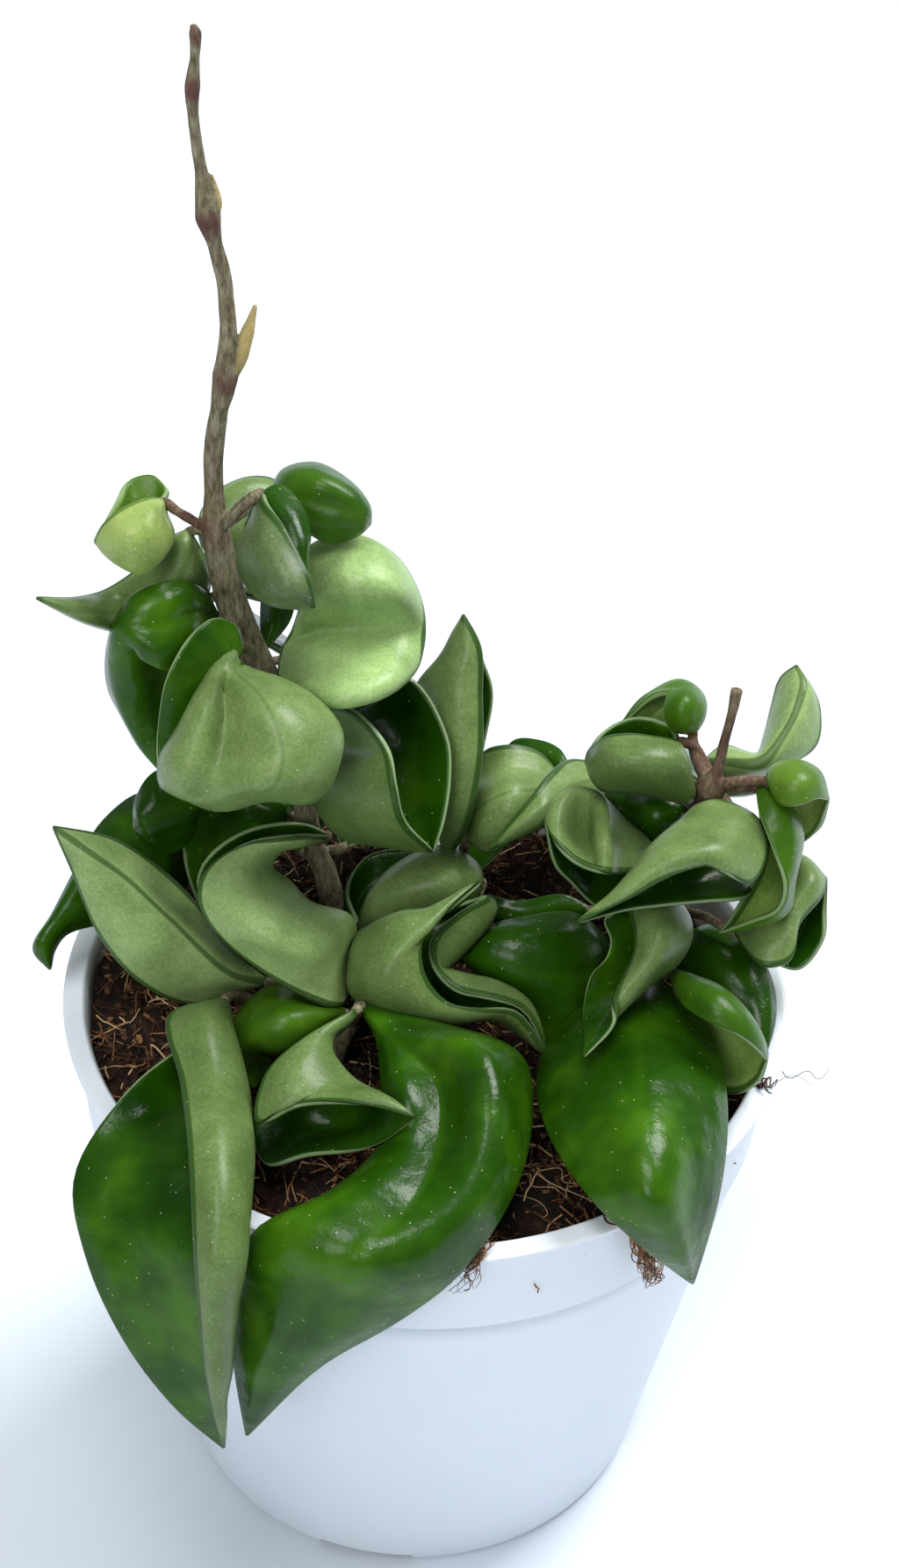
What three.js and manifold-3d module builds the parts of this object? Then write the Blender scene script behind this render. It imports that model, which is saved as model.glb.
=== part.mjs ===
import * as THREE from 'three';
import { mergeVertices } from 'three/addons/utils/BufferGeometryUtils.js';
import Module from 'manifold-3d';

const wasm = await Module();
wasm.setup();

// Driving sizes of the pot, in millimetres
const POT_RIM_R = 60;
const POT_BASE_R = 42.8;
const POT_HEIGHT = 101.5;
const COLLAR_DROP = 18.9;
const COLLAR_STEP = 0.9;
const COLLAR_TOP_R = 58;
const COLLAR_LOW_R = 57.2;
const LIP_WIDTH = 3.6;
const LIP_THICK = 1.3;
const EDGE = 0.4;
const WALL = 1.5;
const FLOOR = 4;
const FOOT_CHAMFER = 1.2;
const POT_SEGMENTS = 44;

// Drainage under the pot: channels from the middle out through the foot, and a hole in each
const CHANNEL_COUNT = 4;
const CHANNEL_WIDTH = 16.7;
const CHANNEL_DEPTH = 2;
const CHANNEL_START_R = 14;
const CHANNEL_TURN = THREE.MathUtils.degToRad(261);
const DRAIN_HOLE_R = 4;
const DRAIN_HOLE_AT_R = 29;
const DRAIN_HOLE_SIDES = 16;
const CUT_MARGIN = 5;

// Soil
const SOIL_DROP = 9;
const SOIL_BUMP = 1.6;
const SOIL_RINGS = 6;
const SOIL_SEGMENTS = 32;
const MOUND_SPACINGS = [33, 27, 15, 19];
const MOUND_STARTS = [1.3, -0.4];
const SMALL_MOUND_SHARE = 0.6;
const BANK_HEIGHT = 5;
const BANK_SPREAD = 16;
const BANK_AT = [-54, 4];

// Clear room between pieces that touch, and how near two points count as one
const GAP = 0.3;
const WELD = 1e-4;

// Leaves: grid cells across and along, thicknesses, and how the blade thins and ends
const LEAF_CELLS = [6, 8];
const LEAF_THICK = 1.2;
const MARGIN_THICK = 0.9;
const END_THICK = 0.65;
const END_TAPER = 0.25;
const START_CUT = 0.32;
const END_CUT = 0.28;

// The photograph's camera, fitted to the pot. A traced point is [x px, y px, mm nearer the
// camera than the middle of the pot's rim].
const CAMERA_DISTANCE = 427;
const FOCAL_PX = 2922;
const CENTRE_PX = [512, 893];
const SHIFT_PX = [-26.3, 226.1];
const CAMERA_ELEVATION = THREE.MathUtils.degToRad(39.19);
const CAMERA_ROLL = THREE.MathUtils.degToRad(2.46);
const VIEW_BACK = new THREE.Vector3(0, -Math.cos(CAMERA_ELEVATION), Math.sin(CAMERA_ELEVATION));
const UP = new THREE.Vector3(0, 0, 1);
const LEVEL_RIGHT = new THREE.Vector3(1, 0, 0);
const LEVEL_UP = new THREE.Vector3(0, Math.sin(CAMERA_ELEVATION), Math.cos(CAMERA_ELEVATION));
const VIEW_RIGHT = LEVEL_RIGHT.clone().applyAxisAngle(VIEW_BACK, CAMERA_ROLL);
const VIEW_UP = LEVEL_UP.clone().applyAxisAngle(VIEW_BACK, CAMERA_ROLL);

// Colours and roughness
const POT_WHITE = 0xf2f4f7;
const POT_ROUGHNESS = 0.35;
const SOIL_BROWN = 0x4a3424;
const SOIL_ROUGHNESS = 1;
const BARK_BROWN = 0x7d6f5a;
const BARK_ROUGHNESS = 0.9;
const LEAF_GREEN = 0x3f7a26;
const LEAF_ROUGHNESS = 0.45;

// Turn a traced point into a place in the part's own frame
function traced([px, py, near]) {
  const depth = CAMERA_DISTANCE - near;
  const across = ((px - CENTRE_PX[0]) * depth - SHIFT_PX[0] * CAMERA_DISTANCE) / FOCAL_PX;
  const upward = ((CENTRE_PX[1] - py) * depth + SHIFT_PX[1] * CAMERA_DISTANCE) / FOCAL_PX;
  return new THREE.Vector3(0, 0, POT_HEIGHT)
    .addScaledVector(VIEW_RIGHT, across)
    .addScaledVector(VIEW_UP, upward)
    .addScaledVector(VIEW_BACK, near);
}

// A traced point, or one already given in the part's own frame
function placed(point) {
  return point.isVector3 ? point : traced(point);
}

// A mesh as a solid that can be joined and cut
function solidOf(geometry) {
  const bare = geometry.clone();
  bare.deleteAttribute('normal');
  bare.deleteAttribute('uv');
  const merged = mergeVertices(bare, WELD);
  return new wasm.Manifold(new wasm.Mesh({
    numProp: 3,
    vertProperties: Float32Array.from(merged.attributes.position.array),
    triVerts: Uint32Array.from(merged.index.array),
  }));
}

// A solid back as a mesh
function geometryOf(solid) {
  const mesh = solid.getMesh();
  const geometry = new THREE.BufferGeometry();
  geometry.setAttribute('position', new THREE.BufferAttribute(Float32Array.from(mesh.vertProperties), 3));
  geometry.setIndex(new THREE.BufferAttribute(Uint32Array.from(mesh.triVerts), 1));
  geometry.computeVertexNormals();
  return geometry;
}

// A mesh from its points and triangles
function meshGeometry(points, triangles) {
  const geometry = new THREE.BufferGeometry();
  geometry.setFromPoints(points);
  geometry.setIndex(triangles);
  geometry.computeVertexNormals();
  return geometry;
}

// A closed solid through rings of points, each ring the same count, with flat fans at both ends
function loft(rings) {
  const count = rings[0].length;
  const points = rings.flat();
  const triangles = [];
  for (let j = 0; j + 1 < rings.length; j += 1) {
    for (let i = 0; i < count; i += 1) {
      const a = j * count + i;
      const b = j * count + (i + 1) % count;
      triangles.push(a, b, b + count, a, b + count, a + count);
    }
  }
  const last = (rings.length - 1) * count;
  for (const [start, first, second] of [[0, 1, 0], [last, 0, 1]]) {
    const centre = new THREE.Vector3();
    for (let i = 0; i < count; i += 1) {
      centre.addScaledVector(points[start + i], 1 / count);
    }
    points.push(centre);
    for (let i = 0; i < count; i += 1) {
      const pair = [start + i, start + (i + 1) % count];
      triangles.push(points.length - 1, pair[first], pair[second]);
    }
  }
  return meshGeometry(points, triangles);
}

// A round stem through a run of places, with a radius at each
function stem(run, radii, steps, sides) {
  const curve = new THREE.CatmullRomCurve3(run);
  const frames = curve.computeFrenetFrames(steps);
  const rings = [];
  for (let j = 0; j <= steps; j += 1) {
    const s = j / steps;
    const span = Math.min(Math.floor(s * (run.length - 1)), run.length - 2);
    const radius = THREE.MathUtils.lerp(radii[span], radii[span + 1], s * (run.length - 1) - span);
    rings.push(Array.from({ length: sides }, (unused, i) => {
      const turn = 2 * Math.PI * i / sides;
      return curve.getPoint(s)
        .addScaledVector(frames.normals[j], radius * Math.cos(turn))
        .addScaledVector(frames.binormals[j], radius * Math.sin(turn));
    }));
  }
  return loft(rings);
}

// A leaf blade: the surface through its rows of points, given a thickness to both sides
function blade(trace) {
  const [across, along] = trace.cells ?? LEAF_CELLS;
  const rails = trace.rows[0].map((unused, column) => new THREE.CatmullRomCurve3(
    [trace.base, ...trace.rows.map((row) => row[column]), trace.tip].map(placed)));
  const runs = trace.rows.length + 1;
  const grid = [];
  for (let j = 0; j <= along; j += 1) {
    const s = THREE.MathUtils.lerp(START_CUT / runs, 1 - END_CUT / runs, j / along);
    const section = new THREE.CatmullRomCurve3(rails.map((rail) => rail.getPoint(s)));
    grid.push(Array.from({ length: across + 1 }, (unused, i) => section.getPoint(i / across)));
  }
  const upper = [];
  const under = [];
  for (let j = 0; j <= along; j += 1) {
    for (let i = 0; i <= across; i += 1) {
      const sideways = grid[j][Math.min(i + 1, across)].clone().sub(grid[j][Math.max(i - 1, 0)]);
      const onward = grid[Math.min(j + 1, along)][i].clone().sub(grid[Math.max(j - 1, 0)][i]);
      const normal = sideways.cross(onward).normalize();
      const full = (i === 0 || i === across) ? MARGIN_THICK : LEAF_THICK;
      const fromEnd = Math.min(j, along - j) / along;
      const thick = THREE.MathUtils.lerp(END_THICK, full, Math.min(1, fromEnd / END_TAPER));
      upper.push(grid[j][i].clone().addScaledVector(normal, thick / 2));
      under.push(grid[j][i].clone().addScaledVector(normal, -thick / 2));
    }
  }
  const width = across + 1;
  const below = upper.length;
  const faces = [];
  const undersides = [];
  const rim = [];
  for (let j = 0; j < along; j += 1) {
    for (let i = 0; i < across; i += 1) {
      const a = j * width + i;
      const d = a + width;
      faces.push(a, a + 1, d + 1, a, d + 1, d);
      undersides.push(below + a, below + d + 1, below + a + 1, below + a, below + d, below + d + 1);
    }
    const left = j * width;
    const right = left + across;
    rim.push(left, left + width, below + left + width, left, below + left + width, below + left);
    rim.push(right, below + right + width, right + width, right, below + right, below + right + width);
  }
  for (let i = 0; i < across; i += 1) {
    const far = along * width + i;
    rim.push(i, below + i + 1, i + 1, i, below + i, below + i + 1);
    rim.push(far, far + 1, below + far + 1, far, below + far + 1, below + far);
  }
  return meshGeometry([...upper, ...under], [...faces, ...undersides, ...rim]);
}

// Pot: one turned shell with its drainage cut into the floor
function potGeometry() {
  const collarZ = POT_HEIGHT - COLLAR_DROP;
  const wallTopR = COLLAR_LOW_R - COLLAR_STEP;
  const lipInR = POT_RIM_R - LIP_WIDTH;
  const lipZ = POT_HEIGHT - LIP_THICK;
  const profile = [
    [0, 0], [POT_BASE_R - FOOT_CHAMFER, 0], [POT_BASE_R, FOOT_CHAMFER],
    [wallTopR, collarZ - 2 * COLLAR_STEP], [wallTopR + EDGE, collarZ - COLLAR_STEP], [COLLAR_LOW_R, collarZ],
    [COLLAR_TOP_R, lipZ - EDGE], [POT_RIM_R - EDGE, lipZ], [POT_RIM_R, lipZ + EDGE],
    [POT_RIM_R, POT_HEIGHT - EDGE], [POT_RIM_R - EDGE, POT_HEIGHT], [lipInR + EDGE, POT_HEIGHT],
    [lipInR, POT_HEIGHT - EDGE], [lipInR - EDGE, lipZ - EDGE], [COLLAR_LOW_R - WALL, collarZ],
    [wallTopR - WALL, collarZ - 2 * COLLAR_STEP], [POT_BASE_R - WALL, FLOOR + FOOT_CHAMFER],
    [POT_BASE_R - WALL - FOOT_CHAMFER, FLOOR], [0, FLOOR],
  ].map(([r, z]) => new THREE.Vector2(r, z));
  const turned = new THREE.LatheGeometry(profile, POT_SEGMENTS).rotateX(Math.PI / 2);
  let pot = solidOf(turned);
  for (let k = 0; k < CHANNEL_COUNT; k += 1) {
    const turn = CHANNEL_TURN + 2 * Math.PI * k / CHANNEL_COUNT;
    const length = POT_BASE_R + CUT_MARGIN - CHANNEL_START_R;
    const channel = new THREE.BoxGeometry(length, CHANNEL_WIDTH, 2 * CHANNEL_DEPTH)
      .translate(CHANNEL_START_R + length / 2, 0, 0).rotateZ(turn);
    const hole = new THREE.CylinderGeometry(DRAIN_HOLE_R, DRAIN_HOLE_R, 4 * FLOOR, DRAIN_HOLE_SIDES)
      .rotateX(Math.PI / 2).translate(DRAIN_HOLE_AT_R, 0, 0).rotateZ(turn);
    pot = pot.subtract(solidOf(channel)).subtract(solidOf(hole));
  }
  return geometryOf(pot);
}

// Inner radius of the pot at a height above its underside
function innerRadius(z) {
  const collarZ = POT_HEIGHT - COLLAR_DROP;
  const wallTopR = COLLAR_LOW_R - COLLAR_STEP;
  if (z > collarZ) {
    return COLLAR_LOW_R - WALL;
  }
  const low = FLOOR + FOOT_CHAMFER;
  const high = collarZ - 2 * COLLAR_STEP;
  const share = THREE.MathUtils.clamp((z - low) / (high - low), 0, 1);
  return THREE.MathUtils.lerp(POT_BASE_R, wallTopR, share) - WALL;
}

// Height of the soil's top over a spot: low mounds, banked up against the left wall
function soilHeight(x, y) {
  const [wideX, wideY, smallX, smallY] = MOUND_SPACINGS.map((spacing) => 2 * Math.PI / spacing);
  const wide = Math.sin(x * wideX + MOUND_STARTS[0]) * Math.cos(y * wideY + MOUND_STARTS[1]);
  const small = SMALL_MOUND_SHARE * Math.sin(x * smallX - y * smallY);
  const fromBank = Math.hypot(x - BANK_AT[0], y - BANK_AT[1]) / BANK_SPREAD;
  const bank = BANK_HEIGHT * Math.exp(-(fromBank ** 2));
  return POT_HEIGHT - SOIL_DROP + SOIL_BUMP * (wide + small) + bank;
}

// Soil: fills the pot up to its mounded top, with a plain hole for each stem
function soilGeometry(holes) {
  const bottomZ = FLOOR + GAP;
  const bottomR = innerRadius(bottomZ) - FOOT_CHAMFER - GAP;
  const collarZ = POT_HEIGHT - COLLAR_DROP;
  const levels = [
    [bottomZ, bottomR],
    [FLOOR + FOOT_CHAMFER + GAP, innerRadius(FLOOR + FOOT_CHAMFER) - GAP],
    [collarZ - 2 * COLLAR_STEP - GAP, innerRadius(collarZ - 2 * COLLAR_STEP) - GAP],
    [collarZ, innerRadius(collarZ - 2 * COLLAR_STEP) - GAP],
  ];
  const topR = innerRadius(POT_HEIGHT) - GAP;
  const circle = (radius, height) => Array.from({ length: SOIL_SEGMENTS }, (unused, i) => {
    const turn = 2 * Math.PI * i / SOIL_SEGMENTS;
    const x = radius * Math.cos(turn);
    const y = radius * Math.sin(turn);
    return new THREE.Vector3(x, y, height ?? soilHeight(x, y));
  });
  const rings = levels.map(([z, r]) => circle(r, z));
  for (let k = SOIL_RINGS; k >= 1; k -= 1) {
    rings.push(circle(topR * k / SOIL_RINGS, null));
  }
  let soil = solidOf(loft(rings));
  for (const hole of holes) {
    soil = soil.subtract(solidOf(hole));
  }
  return geometryOf(soil);
}

// Leaves traced from the photograph, each with its base, its tip and the rows of points between
const LEAVES = {
  // Top pair of the tall stem and the leaves round it
  leaf_tall_crown_left: {
    base: [185, 571, 40], tip: [108, 617, 44], cells: [4, 6],
    rows: [
      [[168, 571, 43], [176, 580, 44], [182, 590, 41], [184, 575, 36], [188, 558, 35]],
      [[150, 577, 45], [168, 604, 48], [192, 614, 42], [180, 590, 35], [174, 545, 34]],
      [[132, 588, 46], [146, 617, 49], [162, 650, 44], [152, 590, 36], [149, 550, 35]],
      [[118, 602, 45], [122, 617, 46], [130, 636, 44], [131, 600, 40], [135, 572, 39]],
    ],
  },
  leaf_tall_long_tip: {
    base: [214, 606, 33], tip: [41, 681, 49], cells: [4, 8],
    rows: [
      [[197, 614, 32], [205, 622, 35], [213, 632, 35], [225, 640, 33], [236, 648, 29]],
      [[168, 643, 30], [180, 655, 33], [195, 668, 34], [212, 678, 29], [228, 686, 23]],
      [[130, 670, 31], [135, 680, 33], [142, 695, 33], [150, 708, 31], [160, 716, 27]],
      [[88, 683, 40], [91, 690, 43], [95, 697, 44], [99, 703, 43], [102, 709, 40]],
    ],
  },
  leaf_tall_ear: {
    base: [248, 704, 27], tip: [181, 876, 26], cells: [6, 12],
    rows: [
      [[234, 718, 27], [234, 707, 30], [233, 697, 31], [233, 687, 32], [231, 676, 32]],
      [[218, 742, 32], [217, 722, 37], [213, 701, 38], [208, 682, 39], [205, 664, 38]],
      [[190, 762, 40], [184, 740, 42], [176, 715, 42], [167, 693, 42], [160, 676, 41]],
      [[160, 746, 41], [154, 731, 42], [147, 719, 42], [140, 712, 41], [133, 708, 38]],
      [[186, 752, 30], [169, 756, 34], [150, 758, 37], [134, 757, 36], [123, 755, 32]],
      [[204, 778, 26], [178, 782, 31], [155, 786, 34], [139, 787, 33], [127, 787, 29]],
      [[194, 814, 24], [174, 815, 29], [158, 817, 31], [148, 818, 31], [143, 818, 29]],
      [[187, 850, 23], [178, 850, 27], [170, 850, 28], [164, 851, 28], [160, 850, 27]],
    ],
  },
  leaf_tall_pillow: {
    base: [273, 736, 31], tip: [184, 897, 38], cells: [8, 14],
    rows: [
      [[251, 750, 35], [254, 752, 37], [258, 753, 38], [262, 753, 37],
        [266, 751, 35], [268, 738, 34], [268, 716, 34]],
      [[245, 758, 38], [250, 762, 40], [256, 766, 40], [264, 768, 39],
        [272, 769, 36], [262, 750, 34], [246, 707, 37]],
      [[236, 772, 40], [243, 779, 44], [253, 785, 41], [283, 783, 44],
        [315, 777, 37], [285, 770, 34], [221, 725, 41]],
      [[222, 796, 42], [237, 806, 48], [255, 809, 44], [303, 808, 50],
        [355, 797, 38], [290, 795, 34], [204, 750, 42]],
      [[203, 832, 43], [224, 840, 49], [254, 845, 45], [320, 852, 52],
        [391, 840, 39], [290, 835, 35], [191, 780, 41]],
      [[187, 858, 43], [212, 874, 49], [248, 882, 47], [315, 888, 53],
        [360, 908, 40], [262, 868, 35], [185, 812, 39]],
      [[183, 872, 42], [206, 890, 47], [236, 900, 46], [276, 901, 48],
        [305, 903, 39], [235, 880, 35], [182, 842, 37]],
      [[182, 884, 41], [196, 899, 43], [213, 908, 43], [232, 914, 43],
        [249, 922, 39], [205, 896, 36], [181, 866, 37]],
    ],
  },
  leaf_tall_hook: {
    base: [373, 952, 3], tip: [400, 1118, 2], cells: [6, 12],
    rows: [
      [[335, 953, 14], [338, 956, 13], [340, 960, 10], [336, 948, 8], [340, 940, 9]],
      [[280, 962, 17], [297, 964, 16], [316, 968, 11], [300, 955, 8], [285, 947, 11]],
      [[237, 992, 19], [270, 987, 19], [307, 990, 9], [270, 985, 8], [240, 977, 12]],
      [[229, 1025, 20], [280, 1025, 23], [324, 1003, 9], [265, 1020, 6], [228, 1012, 10]],
      [[255, 1067, 21], [310, 1065, 26], [350, 1031, 10], [300, 1050, 6], [262, 1055, 8]],
      [[320, 1117, 21], [355, 1090, 22], [395, 1044, 8], [350, 1080, 7], [335, 1090, 9]],
      [[383, 1146, 14], [391, 1112, 9], [403, 1066, 2], [390, 1095, 0], [386, 1110, 2]],
    ],
  },
  leaf_tall_pointed: {
    base: [304, 1118, 2], tip: [60, 941, 24], cells: [4, 8],
    rows: [
      [[265, 1087, 4], [262, 1095, 7], [255, 1105, 9], [238, 1120, 8], [220, 1140, 5]],
      [[212, 1020, 8], [202, 1032, 10], [190, 1046, 15], [178, 1080, 14], [160, 1116, 11]],
      [[172, 984, 12], [158, 991, 14], [142, 1001, 18], [130, 1030, 17], [114, 1062, 14]],
      [[125, 956, 16], [115, 963, 18], [103, 972, 21], [95, 983, 20], [86, 996, 18]],
    ],
  },
  leaf_tall_curl_tip: {
    base: [222, 960, -10], tip: [57, 1104, 8], cells: [4, 8],
    rows: [
      [[215, 1000, -6], [200, 975, -2], [190, 950, 0], [185, 925, -1], [170, 905, -4]],
      [[170, 1040, 2], [160, 1005, 6], [150, 975, 7], [135, 950, 6], [118, 938, 3]],
      [[112, 1050, 5], [106, 1030, 8], [100, 1010, 9], [95, 998, 9], [88, 992, 7]],
      [[74, 1062, 7], [71, 1055, 9], [68, 1050, 10], [65, 1045, 10], [61, 1044, 9]],
      [[60, 1082, 8], [55, 1079, 10], [50, 1077, 11], [45, 1077, 11], [40, 1080, 10]],
    ],
  },
  leaf_tall_pale_rim: {
    base: [300, 925, -6], tip: [262, 1075, -4], cells: [4, 6],
    rows: [
      [[300, 960, -5], [270, 935, -3], [240, 925, 0], [222, 915, 1], [214, 905, 1]],
      [[300, 990, -6], [265, 975, -3], [235, 962, -1], [220, 955, 1], [211, 950, 2]],
      [[300, 1020, -7], [270, 1010, -4], [245, 1000, -2], [228, 995, 0], [215, 990, 2]],
      [[290, 1050, -7], [270, 1045, -5], [250, 1040, -3], [240, 1038, -2], [232, 1036, 0]],
    ],
  },
  leaf_tall_pouch: {
    base: [299, 563, 42], tip: [358, 692, 50], cells: [6, 6],
    rows: [
      [[317, 555, 41], [303, 570, 43], [286, 594, 40], [297, 590, 45], [303, 577, 46]],
      [[341, 576, 42], [322, 595, 45], [276, 622, 40], [299, 616, 49], [321, 603, 49]],
      [[351, 608, 44], [337, 626, 47], [281, 654, 42], [312, 646, 52], [339, 636, 51]],
      [[350, 643, 47], [343, 657, 48], [304, 682, 45], [331, 671, 53], [351, 663, 52]],
    ],
  },
  leaf_tall_dome: {
    base: [311, 566, 31], tip: [422, 596, 33], cells: [6, 6],
    rows: [
      [[324, 537, 27], [327, 550, 34], [331, 567, 36], [340, 587, 35], [350, 602, 33]],
      [[360, 530, 27], [362, 550, 38], [364, 572, 37], [368, 595, 36], [372, 614, 34]],
      [[400, 553, 28], [397, 566, 37], [394, 581, 37], [393, 597, 36], [393, 612, 33]],
      [[418, 577, 30], [416, 585, 35], [412, 594, 36], [410, 601, 35], [409, 606, 33]],
    ],
  },
  leaf_tall_broad: {
    base: [338, 786, 24], tip: [396, 606, 26],
    rows: [
      [[463, 772, 26], [432, 790, 35], [392, 798, 37], [350, 788, 33], [322, 774, 25]],
      [[481, 724, 23], [450, 717, 25], [400, 716, 26], [355, 722, 23], [324, 738, 20]],
      [[474, 675, 25], [445, 670, 35], [405, 668, 37], [370, 674, 34], [345, 690, 27]],
      [[444, 630, 25], [420, 622, 29], [394, 618, 30], [370, 620, 28], [350, 628, 26]],
    ],
  },
  leaf_tall_back: {
    base: [228, 604, 31], tip: [345, 590, 19], cells: [4, 6],
    rows: [
      [[240, 632, 24], [238, 615, 26], [236, 600, 26], [238, 582, 24], [240, 568, 22]],
      [[290, 638, 23], [280, 612, 25], [270, 590, 25], [275, 560, 23], [280, 547, 20]],
      [[328, 636, 19], [315, 610, 22], [303, 585, 23], [307, 562, 21], [313, 550, 18]],
    ],
  },
  leaf_mid_cup: {
    base: [352, 803, 18], tip: [493, 970, 18],
    rows: [
      [[462, 773, 15], [430, 790, 11], [385, 830, 12], [385, 825, 20], [402, 811, 27]],
      [[506, 838, 15], [460, 830, 10], [372, 870, 13], [402, 858, 21], [440, 853, 30]],
      [[510, 885, 16], [470, 880, 11], [361, 908, 14], [405, 900, 26], [448, 893, 31]],
      [[503, 935, 17], [475, 930, 13], [392, 950, 14], [427, 937, 25], [457, 932, 28]],
    ],
  },
  leaf_mid_upright: {
    base: [511, 974, -12], tip: [528, 700, 14],
    rows: [
      [[533, 930, 8], [518, 928, 8], [500, 925, 0], [515, 925, -4], [535, 915, -2]],
      [[546, 862, 11], [525, 860, 11], [494, 860, 0], [520, 855, -3], [548, 850, 1]],
      [[546, 790, 12], [520, 790, 13], [477, 790, 2], [520, 790, -1], [558, 790, 3]],
      [[545, 738, 14], [530, 742, 14], [508, 744, 7], [527, 748, 5], [546, 750, 7]],
    ],
  },
  leaf_mid_right_cup: {
    base: [535, 957, -9], tip: [634, 878, -7], cells: [4, 8],
    rows: [
      [[560, 968, -1], [552, 950, 2], [547, 925, 2], [547, 893, -4], [549, 863, -6]],
      [[590, 950, 0], [585, 930, 6], [580, 905, 6], [576, 878, -1], [575, 852, -3]],
      [[615, 925, -2], [614, 915, 1], [612, 900, 1], [610, 880, -3], [608, 857, -5]],
    ],
  },
  leaf_mid_pale_strip: {
    base: [705, 880, -6], tip: [556, 968, 10], cells: [4, 6],
    rows: [
      [[655, 868, -4], [672, 890, -1], [690, 915, -5]],
      [[628, 883, 5], [642, 900, 5], [655, 925, 0]],
      [[603, 915, 11], [613, 926, 12], [624, 937, 8]],
    ],
  },
  leaf_mid_oval: {
    base: [409, 1057, -5], tip: [550, 1005, -3],
    rows: [
      [[396, 1014, -12], [400, 1040, -13], [424, 1058, -5], [427, 1035, -2], [423, 1016, -4]],
      [[420, 978, -14], [430, 1010, -15], [468, 1048, -3], [464, 1012, 1], [458, 983, -5]],
      [[475, 970, -12], [480, 1005, -13], [508, 1038, -3], [507, 1003, 2], [505, 966, -6]],
      [[530, 977, -9], [530, 1000, -9], [538, 1024, -3], [542, 1005, 0], [543, 986, -5]],
    ],
  },
  leaf_mid_s_curl: {
    base: [415, 1061, 3], tip: [625, 1206, 14], cells: [8, 14],
    rows: [
      [[450, 1046, 5], [445, 1054, 2], [428, 1068, 1], [407, 1070, 8], [432, 1056, 14], [458, 1040, 13]],
      [[505, 1037, 4], [495, 1048, 1], [460, 1060, 0], [403, 1080, 10], [448, 1060, 17], [500, 1034, 12]],
      [[557, 1022, 6], [561, 1031, 4], [512, 1046, 1], [400, 1092, 11], [458, 1068, 18], [547, 1005, 9]],
      [[525, 1041, 9], [554, 1053, 6], [520, 1056, 2], [400, 1106, 11], [450, 1084, 20], [508, 1040, 15]],
      [[494, 1070, 11], [528, 1080, 6], [510, 1076, 2], [402, 1126, 11], [440, 1104, 21], [478, 1074, 18]],
      [[494, 1100, 11], [501, 1106, 8], [500, 1102, 3], [420, 1148, 10], [452, 1128, 20], [481, 1112, 18]],
      [[520, 1127, 12], [528, 1114, 8], [522, 1125, 3], [455, 1163, 9], [482, 1150, 18], [506, 1142, 17]],
      [[555, 1135, 13], [566, 1121, 9], [553, 1140, 5], [502, 1167, 8], [525, 1159, 16], [541, 1150, 16]],
      [[598, 1150, 13], [603, 1143, 11], [591, 1152, 9], [566, 1161, 9], [576, 1158, 14], [588, 1153, 15]],
    ],
  },
  leaf_front_curl: {
    base: [407, 1150, 22], tip: [474, 1273, 43], cells: [8, 8],
    rows: [
      [[345, 1185, 30], [362, 1181, 29], [378, 1178, 25], [365, 1190, 22], [345, 1200, 22]],
      [[304, 1227, 34], [340, 1213, 35], [375, 1198, 28], [335, 1245, 23], [292, 1270, 25]],
      [[295, 1278, 37], [340, 1240, 38], [386, 1216, 29], [350, 1275, 24], [305, 1324, 30]],
      [[340, 1258, 39], [372, 1247, 38], [403, 1236, 30], [385, 1285, 25], [350, 1314, 31]],
      [[420, 1258, 42], [432, 1253, 42], [446, 1258, 40], [440, 1282, 38], [424, 1304, 37]],
    ],
  },
  leaf_front_comma: {
    base: [410, 1146, 17], tip: [281, 1635, 24], cells: [6, 12],
    rows: [
      [[500, 1168, 18], [475, 1180, 25], [452, 1190, 27], [440, 1185, 25], [430, 1180, 22]],
      [[592, 1203, 25], [545, 1203, 37], [498, 1232, 32], [460, 1242, 36], [437, 1237, 31]],
      [[603, 1272, 31], [556, 1284, 44], [504, 1297, 39], [462, 1300, 40], [438, 1297, 35]],
      [[583, 1357, 41], [533, 1364, 50], [472, 1372, 50], [424, 1352, 49], [385, 1355, 43]],
      [[523, 1447, 48], [470, 1440, 54], [400, 1430, 56], [340, 1408, 54], [290, 1405, 49]],
      [[455, 1500, 45], [410, 1490, 49], [350, 1480, 50], [300, 1470, 46], [270, 1480, 41]],
      [[365, 1553, 39], [340, 1550, 41], [310, 1545, 41], [285, 1545, 38], [268, 1545, 35]],
    ],
  },
  leaf_front_bright: {
    base: [395, 1154, 11], tip: [289, 1240, 13], cells: [4, 8],
    rows: [
      [[362, 1172, 15], [364, 1165, 17], [366, 1158, 18], [368, 1150, 15], [368, 1138, 8]],
      [[320, 1197, 17], [322, 1183, 21], [322, 1165, 22], [322, 1145, 18], [318, 1122, 8]],
      [[297, 1198, 14], [292, 1190, 18], [290, 1180, 20], [285, 1165, 17], [278, 1149, 8]],
      [[305, 1212, 11], [290, 1212, 14], [277, 1212, 15], [268, 1202, 13], [260, 1190, 9]],
    ],
  },
  leaf_front_left: {
    base: [256, 1140, 14], tip: [255, 1649, 26], cells: [6, 12],
    rows: [
      [[193, 1160, 26], [235, 1160, 28], [263, 1180, 22], [245, 1185, 16], [225, 1180, 20]],
      [[208, 1228, 35], [245, 1228, 36], [274, 1228, 26], [215, 1240, 24], [150, 1241, 30]],
      [[219, 1320, 51], [252, 1320, 52], [284, 1320, 42], [170, 1330, 39], [88, 1340, 36]],
      [[225, 1430, 57], [250, 1430, 59], [275, 1430, 53], [170, 1420, 42], [101, 1430, 37]],
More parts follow.
